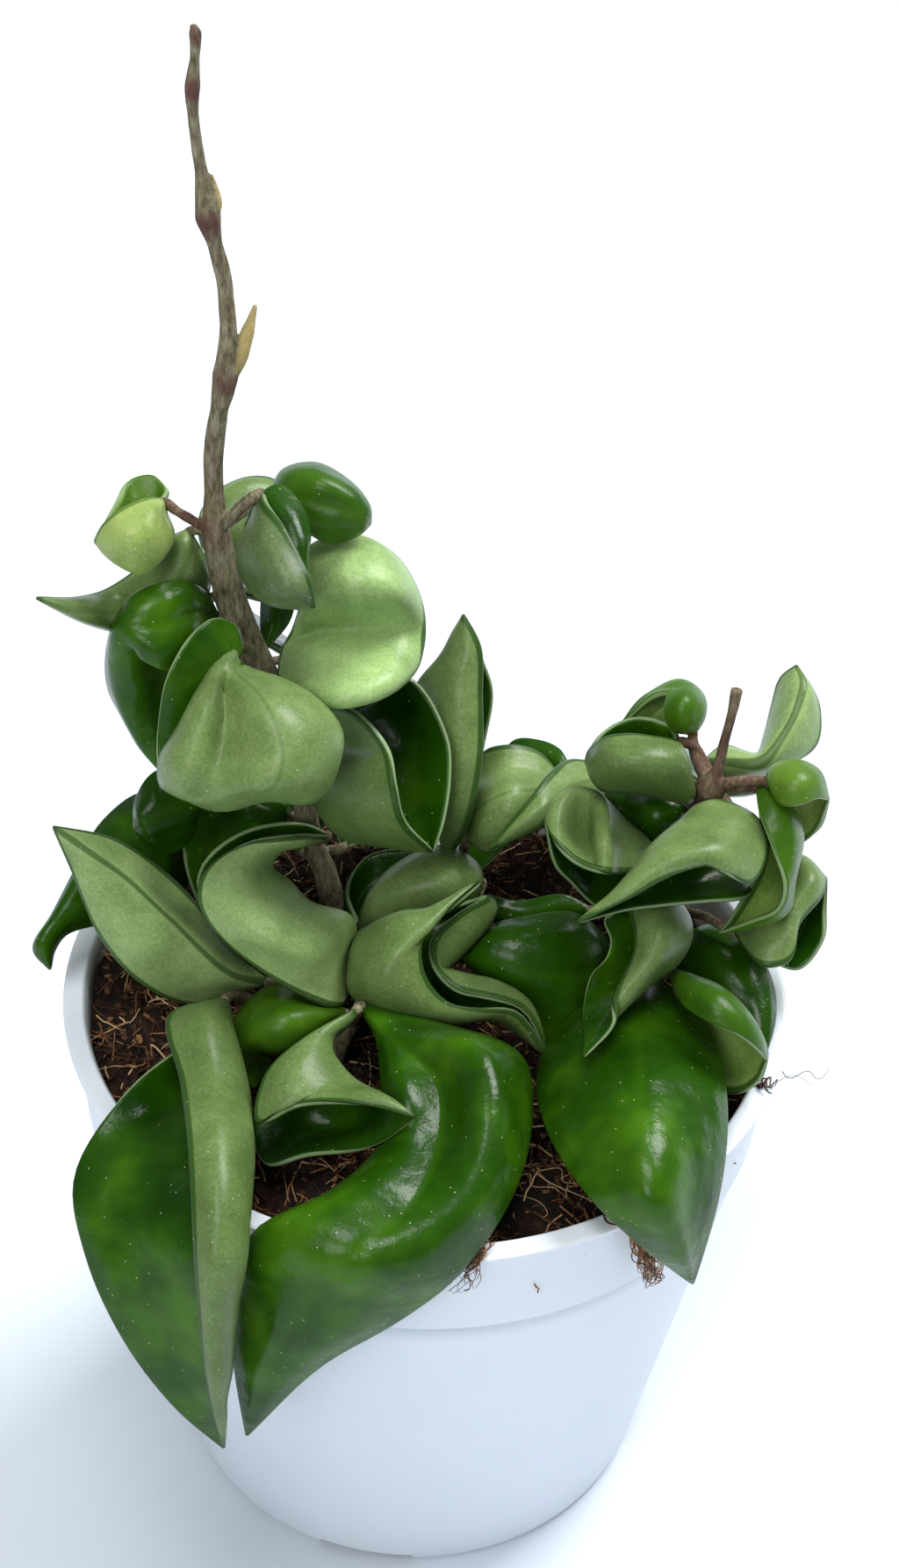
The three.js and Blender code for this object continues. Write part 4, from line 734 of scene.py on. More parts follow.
LEAVES: dict[str, LeafTrace] = {
    # Top pair of the tall stem and the leaves round it
    "tall_crown_left": LeafTrace((185, 571, 40), (108, 617, 44), (
        ((168, 571, 43), (176, 580, 44), (182, 590, 41), (184, 575, 36), (188, 558, 35)),
        ((150, 577, 45), (168, 604, 48), (192, 614, 42), (180, 590, 35), (174, 545, 34)),
        ((132, 588, 46), (146, 617, 49), (162, 650, 44), (152, 590, 36), (149, 550, 35)),
        ((118, 602, 45), (122, 617, 46), (130, 636, 44), (131, 600, 40), (135, 572, 39)),
    ), LeafTone.YOUNG),
    "tall_long_tip": LeafTrace((214, 606, 33), (41, 681, 49), (
        ((197, 614, 32), (205, 622, 35), (213, 632, 35), (225, 640, 33), (236, 648, 29)),
        ((168, 643, 30), (180, 655, 33), (195, 668, 34), (212, 678, 29), (228, 686, 23)),
        ((130, 670, 31), (135, 680, 33), (142, 695, 33), (150, 708, 31), (160, 716, 27)),
        ((88, 683, 40), (91, 690, 43), (95, 697, 44), (99, 703, 43), (102, 709, 40)),
    )),
    "tall_ear": LeafTrace((248, 704, 27), (181, 876, 26), (
        ((234, 718, 27), (234, 707, 30), (233, 697, 31), (233, 687, 32), (231, 676, 32)),
        ((218, 742, 32), (217, 722, 37), (213, 701, 38), (208, 682, 39), (205, 664, 38)),
        ((190, 762, 40), (184, 740, 42), (176, 715, 42), (167, 693, 42), (160, 676, 41)),
        ((160, 746, 41), (154, 731, 42), (147, 719, 42), (140, 712, 41), (133, 708, 38)),
        ((186, 752, 30), (169, 756, 34), (150, 758, 37), (134, 757, 36), (123, 755, 32)),
        ((204, 778, 26), (178, 782, 31), (155, 786, 34), (139, 787, 33), (127, 787, 29)),
        ((194, 814, 24), (174, 815, 29), (158, 817, 31), (148, 818, 31), (143, 818, 29)),
        ((187, 850, 23), (178, 850, 27), (170, 850, 28), (164, 851, 28), (160, 850, 27)),
    )),
    "tall_pillow": LeafTrace((273, 736, 31), (184, 897, 38), (
        ((251, 750, 35), (254, 752, 37), (258, 753, 38), (262, 753, 37),
         (266, 751, 35), (268, 738, 34), (268, 716, 34)),
        ((245, 758, 38), (250, 762, 40), (256, 766, 40), (264, 768, 39),
         (272, 769, 36), (262, 750, 34), (246, 707, 37)),
        ((236, 772, 40), (243, 779, 44), (253, 785, 41), (283, 783, 44),
         (315, 777, 37), (285, 770, 34), (221, 725, 41)),
        ((222, 796, 42), (237, 806, 48), (255, 809, 44), (303, 808, 50),
         (355, 797, 38), (290, 795, 34), (204, 750, 42)),
        ((203, 832, 43), (224, 840, 49), (254, 845, 45), (320, 852, 52),
         (391, 840, 39), (290, 835, 35), (191, 780, 41)),
        ((187, 858, 43), (212, 874, 49), (248, 882, 47), (315, 888, 53),
         (360, 908, 40), (262, 868, 35), (185, 812, 39)),
        ((183, 872, 42), (206, 890, 47), (236, 900, 46), (276, 901, 48),
         (305, 903, 39), (235, 880, 35), (182, 842, 37)),
        ((182, 884, 41), (196, 899, 43), (213, 908, 43), (232, 914, 43),
         (249, 922, 39), (205, 896, 36), (181, 866, 37)),
    )),
    "tall_hook": LeafTrace((373, 952, 3), (400, 1118, 2), (
        ((335, 953, 14), (338, 956, 13), (340, 960, 10), (336, 948, 8), (340, 940, 9)),
        ((280, 962, 17), (297, 964, 16), (316, 968, 11), (300, 955, 8), (285, 947, 11)),
        ((237, 992, 19), (270, 987, 19), (307, 990, 9), (270, 985, 8), (240, 977, 12)),
        ((229, 1025, 20), (280, 1025, 23), (324, 1003, 9), (265, 1020, 6), (228, 1012, 10)),
        ((255, 1067, 21), (310, 1065, 26), (350, 1031, 10), (300, 1050, 6), (262, 1055, 8)),
        ((320, 1117, 21), (355, 1090, 22), (395, 1044, 8), (350, 1080, 7), (335, 1090, 9)),
        ((383, 1146, 14), (391, 1112, 9), (403, 1066, 2), (390, 1095, 0), (386, 1110, 2)),
    ), LeafTone.PALE),
    "tall_pointed": LeafTrace((304, 1118, 2), (60, 941, 24), (
        ((265, 1087, 4), (262, 1095, 7), (255, 1105, 9), (238, 1120, 8), (220, 1140, 5)),
        ((212, 1020, 8), (202, 1032, 10), (190, 1046, 15), (178, 1080, 14), (160, 1116, 11)),
        ((172, 984, 12), (158, 991, 14), (142, 1001, 18), (130, 1030, 17), (114, 1062, 14)),
        ((125, 956, 16), (115, 963, 18), (103, 972, 21), (95, 983, 20), (86, 996, 18)),
    ), LeafTone.CREASED),
    "tall_curl_tip": LeafTrace((222, 960, -10), (57, 1104, 8), (
        ((215, 1000, -6), (200, 975, -2), (190, 950, 0), (185, 925, -1), (170, 905, -4)),
        ((170, 1040, 2), (160, 1005, 6), (150, 975, 7), (135, 950, 6), (118, 938, 3)),
        ((112, 1050, 5), (106, 1030, 8), (100, 1010, 9), (95, 998, 9), (88, 992, 7)),
        ((74, 1062, 7), (71, 1055, 9), (68, 1050, 10), (65, 1045, 10), (61, 1044, 9)),
        ((60, 1082, 8), (55, 1079, 10), (50, 1077, 11), (45, 1077, 11), (40, 1080, 10)),
    )),
    "tall_pale_rim": LeafTrace((300, 925, -6), (262, 1075, -4), (
        ((300, 960, -5), (270, 935, -3), (240, 925, 0), (222, 915, 1), (214, 905, 1)),
        ((300, 990, -6), (265, 975, -3), (235, 962, -1), (220, 955, 1), (211, 950, 2)),
        ((300, 1020, -7), (270, 1010, -4), (245, 1000, -2), (228, 995, 0), (215, 990, 2)),
        ((290, 1050, -7), (270, 1045, -5), (250, 1040, -3), (240, 1038, -2), (232, 1036, 0)),
    )),
    "tall_pouch": LeafTrace((299, 563, 42), (358, 692, 50), (
        ((317, 555, 41), (303, 570, 43), (286, 594, 40), (297, 590, 45), (303, 577, 46)),
        ((341, 576, 42), (322, 595, 45), (276, 622, 40), (299, 616, 49), (321, 603, 49)),
        ((351, 608, 44), (337, 626, 47), (281, 654, 42), (312, 646, 52), (339, 636, 51)),
        ((350, 643, 47), (343, 657, 48), (304, 682, 45), (331, 671, 53), (351, 663, 52)),
    ), LeafTone.GREY),
    "tall_dome": LeafTrace((311, 566, 31), (422, 596, 33), (
        ((324, 537, 27), (327, 550, 34), (331, 567, 36), (340, 587, 35), (350, 602, 33)),
        ((360, 530, 27), (362, 550, 38), (364, 572, 37), (368, 595, 36), (372, 614, 34)),
        ((400, 553, 28), (397, 566, 37), (394, 581, 37), (393, 597, 36), (393, 612, 33)),
        ((418, 577, 30), (416, 585, 35), (412, 594, 36), (410, 601, 35), (409, 606, 33)),
    ), LeafTone.FRESH),
    "tall_broad": LeafTrace((338, 786, 24), (396, 606, 26), (
        ((463, 772, 26), (432, 790, 35), (392, 798, 37), (350, 788, 33), (322, 774, 25)),
        ((481, 724, 23), (450, 717, 25), (400, 716, 26), (355, 722, 23), (324, 738, 20)),
        ((474, 675, 25), (445, 670, 35), (405, 668, 37), (370, 674, 34), (345, 690, 27)),
        ((444, 630, 25), (420, 622, 29), (394, 618, 30), (370, 620, 28), (350, 628, 26)),
    ), LeafTone.PALE),
    "tall_back": LeafTrace((228, 604, 31), (345, 590, 19), (
        ((240, 632, 24), (238, 615, 26), (236, 600, 26), (238, 582, 24), (240, 568, 22)),
        ((290, 638, 23), (280, 612, 25), (270, 590, 25), (275, 560, 23), (280, 547, 20)),
        ((328, 636, 19), (315, 610, 22), (303, 585, 23), (307, 562, 21), (313, 550, 18)),
    )),
    "mid_cup": LeafTrace((352, 803, 18), (493, 970, 18), (
        ((462, 773, 15), (430, 790, 11), (385, 830, 12), (385, 825, 20), (402, 811, 27)),
        ((506, 838, 15), (460, 830, 10), (372, 870, 13), (402, 858, 21), (440, 853, 30)),
        ((510, 885, 16), (470, 880, 11), (361, 908, 14), (405, 900, 26), (448, 893, 31)),
        ((503, 935, 17), (475, 930, 13), (392, 950, 14), (427, 937, 25), (457, 932, 28)),
    ), LeafTone.SHADE),
    "mid_upright": LeafTrace((511, 974, -12), (528, 700, 14), (
        ((533, 930, 8), (518, 928, 8), (500, 925, 0), (515, 925, -4), (535, 915, -2)),
        ((546, 862, 11), (525, 860, 11), (494, 860, 0), (520, 855, -3), (548, 850, 1)),
        ((546, 790, 12), (520, 790, 13), (477, 790, 2), (520, 790, -1), (558, 790, 3)),
        ((545, 738, 14), (530, 742, 14), (508, 744, 7), (527, 748, 5), (546, 750, 7)),
    )),
    "mid_right_cup": LeafTrace((535, 957, -9), (634, 878, -7), (
        ((560, 968, -1), (552, 950, 2), (547, 925, 2), (547, 893, -4), (549, 863, -6)),
        ((590, 950, 0), (585, 930, 6), (580, 905, 6), (576, 878, -1), (575, 852, -3)),
        ((615, 925, -2), (614, 915, 1), (612, 900, 1), (610, 880, -3), (608, 857, -5)),
    )),
    "mid_pale_strip": LeafTrace((705, 880, -6), (556, 968, 10), (
        ((655, 868, -4), (672, 890, -1), (690, 915, -5)),
        ((628, 883, 5), (642, 900, 5), (655, 925, 0)),
        ((603, 915, 11), (613, 926, 12), (624, 937, 8)),
    )),
    "mid_oval": LeafTrace((409, 1057, -5), (550, 1005, -3), (
        ((396, 1014, -12), (400, 1040, -13), (424, 1058, -5), (427, 1035, -2), (423, 1016, -4)),
        ((420, 978, -14), (430, 1010, -15), (468, 1048, -3), (464, 1012, 1), (458, 983, -5)),
        ((475, 970, -12), (480, 1005, -13), (508, 1038, -3), (507, 1003, 2), (505, 966, -6)),
        ((530, 977, -9), (530, 1000, -9), (538, 1024, -3), (542, 1005, 0), (543, 986, -5)),
    )),
    "mid_s_curl": LeafTrace((415, 1061, 3), (625, 1206, 14), (
        ((450, 1046, 5), (445, 1054, 2), (428, 1068, 1),
         (407, 1070, 8), (432, 1056, 14), (458, 1040, 13)),
        ((505, 1037, 4), (495, 1048, 1), (460, 1060, 0),
         (403, 1080, 10), (448, 1060, 17), (500, 1034, 12)),
        ((557, 1022, 6), (561, 1031, 4), (512, 1046, 1),
         (400, 1092, 11), (458, 1068, 18), (547, 1005, 9)),
        ((525, 1041, 9), (554, 1053, 6), (520, 1056, 2),
         (400, 1106, 11), (450, 1084, 20), (508, 1040, 15)),
        ((494, 1070, 11), (528, 1080, 6), (510, 1076, 2),
         (402, 1126, 11), (440, 1104, 21), (478, 1074, 18)),
        ((494, 1100, 11), (501, 1106, 8), (500, 1102, 3),
         (420, 1148, 10), (452, 1128, 20), (481, 1112, 18)),
        ((520, 1127, 12), (528, 1114, 8), (522, 1125, 3),
         (455, 1163, 9), (482, 1150, 18), (506, 1142, 17)),
        ((555, 1135, 13), (566, 1121, 9), (553, 1140, 5),
         (502, 1167, 8), (525, 1159, 16), (541, 1150, 16)),
        ((598, 1150, 13), (603, 1143, 11), (591, 1152, 9),
         (566, 1161, 9), (576, 1158, 14), (588, 1153, 15)),
    ), LeafTone.SHADE),
    "front_curl": LeafTrace((407, 1150, 22), (474, 1273, 43), (
        ((345, 1185, 30), (362, 1181, 29), (378, 1178, 25), (365, 1190, 22), (345, 1200, 22)),
        ((304, 1227, 34), (340, 1213, 35), (375, 1198, 28), (335, 1245, 23), (292, 1270, 25)),
        ((295, 1278, 37), (340, 1240, 38), (386, 1216, 29), (350, 1275, 24), (305, 1324, 30)),
        ((340, 1258, 39), (372, 1247, 38), (403, 1236, 30), (385, 1285, 25), (350, 1314, 31)),
        ((420, 1258, 42), (432, 1253, 42), (446, 1258, 40), (440, 1282, 38), (424, 1304, 37)),
    ), LeafTone.SHADE),
    "front_comma": LeafTrace((410, 1146, 17), (281, 1635, 24), (
        ((500, 1168, 18), (475, 1180, 25), (452, 1190, 27), (440, 1185, 25), (430, 1180, 22)),
        ((592, 1203, 25), (545, 1203, 37), (498, 1232, 32), (460, 1242, 36), (437, 1237, 31)),
        ((603, 1272, 31), (556, 1284, 44), (504, 1297, 39), (462, 1300, 40), (438, 1297, 35)),
        ((583, 1357, 41), (533, 1364, 50), (472, 1372, 50), (424, 1352, 49), (385, 1355, 43)),
        ((523, 1447, 48), (470, 1440, 54), (400, 1430, 56), (340, 1408, 54), (290, 1405, 49)),
        ((455, 1500, 45), (410, 1490, 49), (350, 1480, 50), (300, 1470, 46), (270, 1480, 41)),
        ((365, 1553, 39), (340, 1550, 41), (310, 1545, 41), (285, 1545, 38), (268, 1545, 35)),
    )),
    "front_bright": LeafTrace((395, 1154, 11), (289, 1240, 13), (
        ((362, 1172, 15), (364, 1165, 17), (366, 1158, 18), (368, 1150, 15), (368, 1138, 8)),
        ((320, 1197, 17), (322, 1183, 21), (322, 1165, 22), (322, 1145, 18), (318, 1122, 8)),
        ((297, 1198, 14), (292, 1190, 18), (290, 1180, 20), (285, 1165, 17), (278, 1149, 8)),
        ((305, 1212, 11), (290, 1212, 14), (277, 1212, 15), (268, 1202, 13), (260, 1190, 9)),
    ), LeafTone.FRESH),
    "front_left": LeafTrace((256, 1140, 14), (255, 1649, 26), (
        ((193, 1160, 26), (235, 1160, 28), (263, 1180, 22), (245, 1185, 16), (225, 1180, 20)),
        ((208, 1228, 35), (245, 1228, 36), (274, 1228, 26), (215, 1240, 24), (150, 1241, 30)),
        ((219, 1320, 51), (252, 1320, 52), (284, 1320, 42), (170, 1330, 39), (88, 1340, 36)),
        ((225, 1430, 57), (250, 1430, 59), (275, 1430, 53), (170, 1420, 42), (101, 1430, 37)),
        ((231, 1515, 50), (248, 1515, 52), (263, 1515, 48), (190, 1510, 39), (141, 1520, 35)),
        ((240, 1585, 40), (248, 1585, 42), (256, 1585, 39), (225, 1590, 34), (200, 1600, 31)),
    ), LeafTone.SHADE),
    # Middle and right: the short stem's leaves
    "mid_dark": LeafTrace((702, 1085, -8), (525, 1090, 3), (
        ((640, 1193, 1), (650, 1150, 3), (655, 1110, 4), (655, 1070, 3), (655, 1043, -1)),
        ((612, 1186, 1), (603, 1145, 4), (600, 1105, 7), (600, 1070, 6), (600, 1047, 0)),
        ((568, 1135, -2), (560, 1110, 4), (556, 1090, 6), (558, 1072, 5), (560, 1057, 1)),
    )),
    "short_upright": LeafTrace((803, 868, 6), (907, 758, 3), (
        ((832, 888, 4), (828, 868, 8), (825, 852, 4)),
        ((885, 873, 5), (868, 868, 10), (862, 861, 4)),
        ((927, 848, 3), (893, 838, 9), (873, 838, 1)),
        ((931, 808, 3), (908, 808, 8), (882, 803, 1)),
        ((922, 783, 3), (914, 780, 6), (891, 773, 1)),
    ), LeafTone.CREASED),
    "short_top": LeafTrace((789, 834, 12), (704, 829, 5), (
        ((766, 828, 16), (782, 822, 18), (799, 815, 12), (780, 820, 7), (765, 831, 6)),
        ((760, 808, 17), (778, 803, 19), (797, 795, 11), (770, 808, 6), (750, 829, 6)),
        ((762, 791, 15), (767, 788, 14), (773, 780, 9), (752, 805, 5), (738, 829, 5)),
        ((744, 794, 12), (738, 798, 10), (731, 803, 8), (725, 815, 6), (720, 829, 5)),
    ), LeafTone.FRESH),
    "short_pod": LeafTrace((772, 846, 15), (667, 867, 13), (
        ((752, 843, 21), (772, 868, 24), (786, 910, 15), (770, 860, 8), (762, 829, 11)),
        ((718, 839, 22), (736, 870, 27), (748, 902, 15), (735, 855, 6), (730, 820, 10)),
        ((692, 842, 21), (702, 868, 26), (712, 899, 14), (708, 860, 6), (703, 827, 9)),
        ((675, 853, 18), (680, 873, 20), (687, 895, 13), (685, 868, 8), (682, 843, 10)),
    ), LeafTone.SHADE),
    "short_ripple": LeafTrace((781, 924, 5), (688, 908, 0), (
        ((765, 942, 6), (772, 925, 8), (770, 908, 4)),
        ((745, 957, 6), (745, 925, 9), (745, 897, 2)),
        ((725, 957, 3), (718, 925, 3), (715, 896, 0)),
        ((705, 935, 1), (700, 915, 2), (695, 903, 0)),
    )),
    "short_shell": LeafTrace((748, 972, 8), (621, 936, 19), (
        ((706, 1040, 5), (722, 985, 3), (728, 954, 8), (727, 974, 15), (722, 990, 17)),
        ((692, 1037, 7), (704, 964, 4), (706, 934, 11), (703, 965, 19), (700, 992, 21)),
        ((682, 1031, 8), (692, 956, 4), (685, 912, 14), (687, 955, 23), (691, 992, 24)),
        ((668, 1020, 9), (678, 952, 4), (674, 905, 14), (673, 950, 13), (677, 990, 24)),
        ((652, 1003, 12), (662, 950, 7), (657, 902, 14), (653, 945, 16), (656, 981, 25)),
        ((633, 983, 15), (637, 945, 12), (635, 913, 16), (633, 942, 21), (634, 961, 24)),
    )),
    "short_twist": LeafTrace((829, 915, 13), (657, 1051, 34), (
        ((830, 950, 8), (810, 935, 10), (800, 920, 18), (835, 930, 24), (862, 935, 20)),
        ((850, 1000, 10), (800, 970, 12), (778, 939, 21), (825, 955, 31), (871, 968, 24)),
        ((848, 1020, 16), (790, 1000, 15), (757, 953, 23), (810, 968, 35), (852, 1005, 30)),
        ((800, 1025, 20), (770, 1008, 18), (741, 970, 25), (780, 975, 36), (808, 985, 35)),
        ((752, 1029, 24), (738, 1015, 23), (722, 997, 28), (745, 990, 36), (762, 996, 36)),
        ((712, 1035, 29), (702, 1030, 29), (695, 1023, 31), (705, 1020, 36), (715, 1022, 36)),
    )),
    "short_tail": LeafTrace((742, 1024, 12), (666, 1203, 34), (
        ((720, 1038, 18), (745, 1034, 19), (770, 1030, 12), (735, 1040, 7), (692, 1046, 9)),
        ((726, 1063, 22), (753, 1060, 25), (783, 1060, 14), (745, 1065, 8), (699, 1070, 11)),
        ((724, 1088, 23), (746, 1088, 26), (770, 1090, 15), (738, 1092, 9), (694, 1091, 13)),
        ((713, 1113, 25), (728, 1112, 26), (745, 1113, 18), (718, 1113, 13), (677, 1110, 16)),
        ((701, 1138, 27), (708, 1138, 27), (716, 1138, 23), (697, 1138, 19), (669, 1140, 20)),
        ((698, 1166, 30), (696, 1164, 29), (690, 1163, 27), (681, 1163, 26), (668, 1170, 27)),
    )),
    "short_strip": LeafTrace((864, 896, 17), (820, 1063, 15), (
        ((868, 925, 13), (880, 925, 12), (892, 915, 17), (882, 915, 22), (868, 925, 23)),
        ((871, 965, 13), (890, 960, 11), (911, 953, 17), (898, 955, 24), (882, 962, 25)),
        ((862, 1000, 13), (885, 1000, 10), (899, 1003, 17), (898, 1003, 23), (895, 1005, 25)),
        ((843, 1033, 13), (865, 1030, 10), (893, 1035, 16), (890, 1037, 20), (887, 1036, 22)),
        ((832, 1050, 14), (845, 1048, 12), (862, 1052, 15), (860, 1051, 17), (857, 1050, 18)),
    ), LeafTone.FRESH),
    "short_bud": LeafTrace((876, 889, 19), (944, 910, 18), (
        ((902, 930, 8), (892, 900, 10), (882, 876, 19), (886, 895, 24), (892, 914, 25)),
        ((909, 957, 6), (905, 910, 9), (903, 869, 18), (907, 892, 26), (911, 913, 26)),
        ((930, 944, 9), (930, 910, 11), (928, 878, 18), (928, 893, 24), (930, 906, 24)),
    ), LeafTone.YOUNG),
    "short_cut": LeafTrace((838, 1062, 6), (941, 1000, 5), (
        ((870, 1098, 13), (868, 1075, 12), (872, 1052, 6), (880, 1075, 1), (885, 1095, 4)),
        ((899, 1091, 13), (893, 1062, 13), (893, 1036, 5), (905, 1070, 1), (910, 1101, 5)),
        ((908, 1052, 12), (906, 1030, 12), (899, 1003, 3), (920, 1045, 0), (936, 1068, 4)),
        ((932, 1022, 9), (925, 1003, 10), (910, 979, 2), (930, 1015, 0), (938, 1035, 3)),
    )),
    "short_round": LeafTrace((765, 1093, 1), (870, 1207, 14), (
        ((800, 1057, -1), (805, 1080, 5), (808, 1105, 7), (805, 1130, 5), (790, 1150, 1)),
        ((845, 1069, 1), (838, 1095, 7), (830, 1120, 9), (820, 1145, 7), (805, 1165, 3)),
        ((876, 1115, 5), (865, 1130, 9), (850, 1150, 10), (840, 1165, 9), (825, 1180, 6)),
        ((881, 1160, 9), (872, 1168, 11), (862, 1178, 12), (852, 1188, 11), (842, 1197, 9)),
    )),
    "short_fold": LeafTrace((762, 1104, 5), (873, 1207, 23), (
        ((797, 1190, 8), (794, 1150, 9), (788, 1115, 17), (784, 1130, 24), (783, 1145, 25)),
        ((812, 1235, 14), (820, 1180, 13), (822, 1130, 22), (818, 1148, 30), (812, 1162, 30)),
        ((838, 1243, 17), (850, 1195, 16), (850, 1160, 23), (848, 1168, 29), (842, 1176, 30)),
        ((863, 1230, 20), (868, 1205, 20), (866, 1186, 24), (866, 1190, 26), (864, 1194, 27)),
    ), LeafTone.FRESH),
    "front_right": LeafTrace((740, 1109, 3), (789, 1462, 34), (
        ((797, 1160, 15), (762, 1155, 17), (724, 1152, 18), (688, 1150, 16), (655, 1157, 9)),
        ((820, 1215, 24), (778, 1215, 29), (728, 1215, 32), (668, 1215, 28), (615, 1222, 20)),
        ((825, 1290, 33), (785, 1290, 40), (733, 1292, 46), (680, 1296, 42), (630, 1297, 35)),
        ((816, 1360, 38), (783, 1360, 45), (747, 1362, 51), (709, 1362, 48), (674, 1362, 45)),
        ((802, 1415, 37), (785, 1415, 41), (768, 1415, 45), (749, 1415, 44), (730, 1415, 43)),
    )),
    # Small leaves partly hidden by the others
    "tall_silver": LeafTrace((226, 915, 12), (153, 945, 13), (
        ((215, 955, 10), (208, 930, 13), (200, 905, 13), (192, 878, 11)),
        ((195, 968, 10), (185, 940, 14), (178, 912, 15), (172, 886, 13)),
        ((175, 968, 11), (168, 948, 14), (162, 928, 15), (157, 913, 13)),
    )),
    "tall_under": LeafTrace((333, 915, 0), (262, 920, 2), (
        ((318, 936, 4), (314, 918, 5), (310, 895, 0)),
        ((290, 932, 4), (288, 913, 5), (286, 890, 0)),
    )),
    "tall_sliver": LeafTrace((302, 738, 17), (319, 652, 17), (
        ((300, 710, 16), (312, 710, 17), (327, 706, 15)),
        ((303, 675, 18), (316, 675, 19), (332, 675, 17)),
    )),
    "mid_hidden": LeafTrace((562, 900, -13), (648, 873, -9), (
        ((585, 847, -14), (590, 870, -12), (598, 908, -13)),
        ((618, 847, -13), (622, 868, -10), (625, 900, -12)),
        ((637, 856, -11), (640, 870, -9), (640, 888, -10)),
    )),
    "mid_low": LeafTrace((672, 1036, -9), (556, 1020, -4), (
        ((640, 1050, -9), (635, 1036, -8), (640, 1022, -9)),
        ((600, 1064, -8), (595, 1045, -6), (595, 1029, -8)),
        ((572, 1054, -6), (568, 1040, -5), (568, 1026, -6)),
    )),
}


@dataclass(frozen=True)
class RearPlan:
    """An unseen leaf at the back: where it starts, how it points and its form, in mm and degrees."""

    start: Point
    heading: float
    pitch: float
    length: float
    width: float
    cup: float
    droop: float


REAR_LEAVES: dict[str, RearPlan] = {
    "rear_high": RearPlan((-35, 27, 161), 56, -34, 34, 21, 3, 2),
    "rear_left": RearPlan((-43, 25, 158), 108, -42, 30, 19, 3, 2),
    "rear_middle": RearPlan((-24, 25, 149), 84, -28, 38, 25, 6, 7),
    "rear_side": RearPlan((-34, 21, 147), 124, -28, 32, 19, 4, 7),
    "rear_low": RearPlan((-15, 19, 114), 66, 8, 42, 26, 6, 8),
    "rear_rim": RearPlan((-22, 23, 109), 112, 12, 40, 25, 5, 10),
    "rear_short": RearPlan((46, 19, 129), 72, -28, 34, 22, 4, 3),
    "rear_right": RearPlan((34, 20, 106), 104, 4, 38, 24, 5, 5),
    "rear_centre": RearPlan((5, 29, 98), 92, 14, 26, 19, 3, 3),
}
REAR_STATIONS = (0.0, 0.22, 0.45, 0.68, 0.87, 1.0)
REAR_WIDTHS = (0.0, 0.66, 1.0, 0.92, 0.5, 0.0)
REAR_COLUMNS = (-1.0, -0.5, 0.0, 0.5, 1.0)


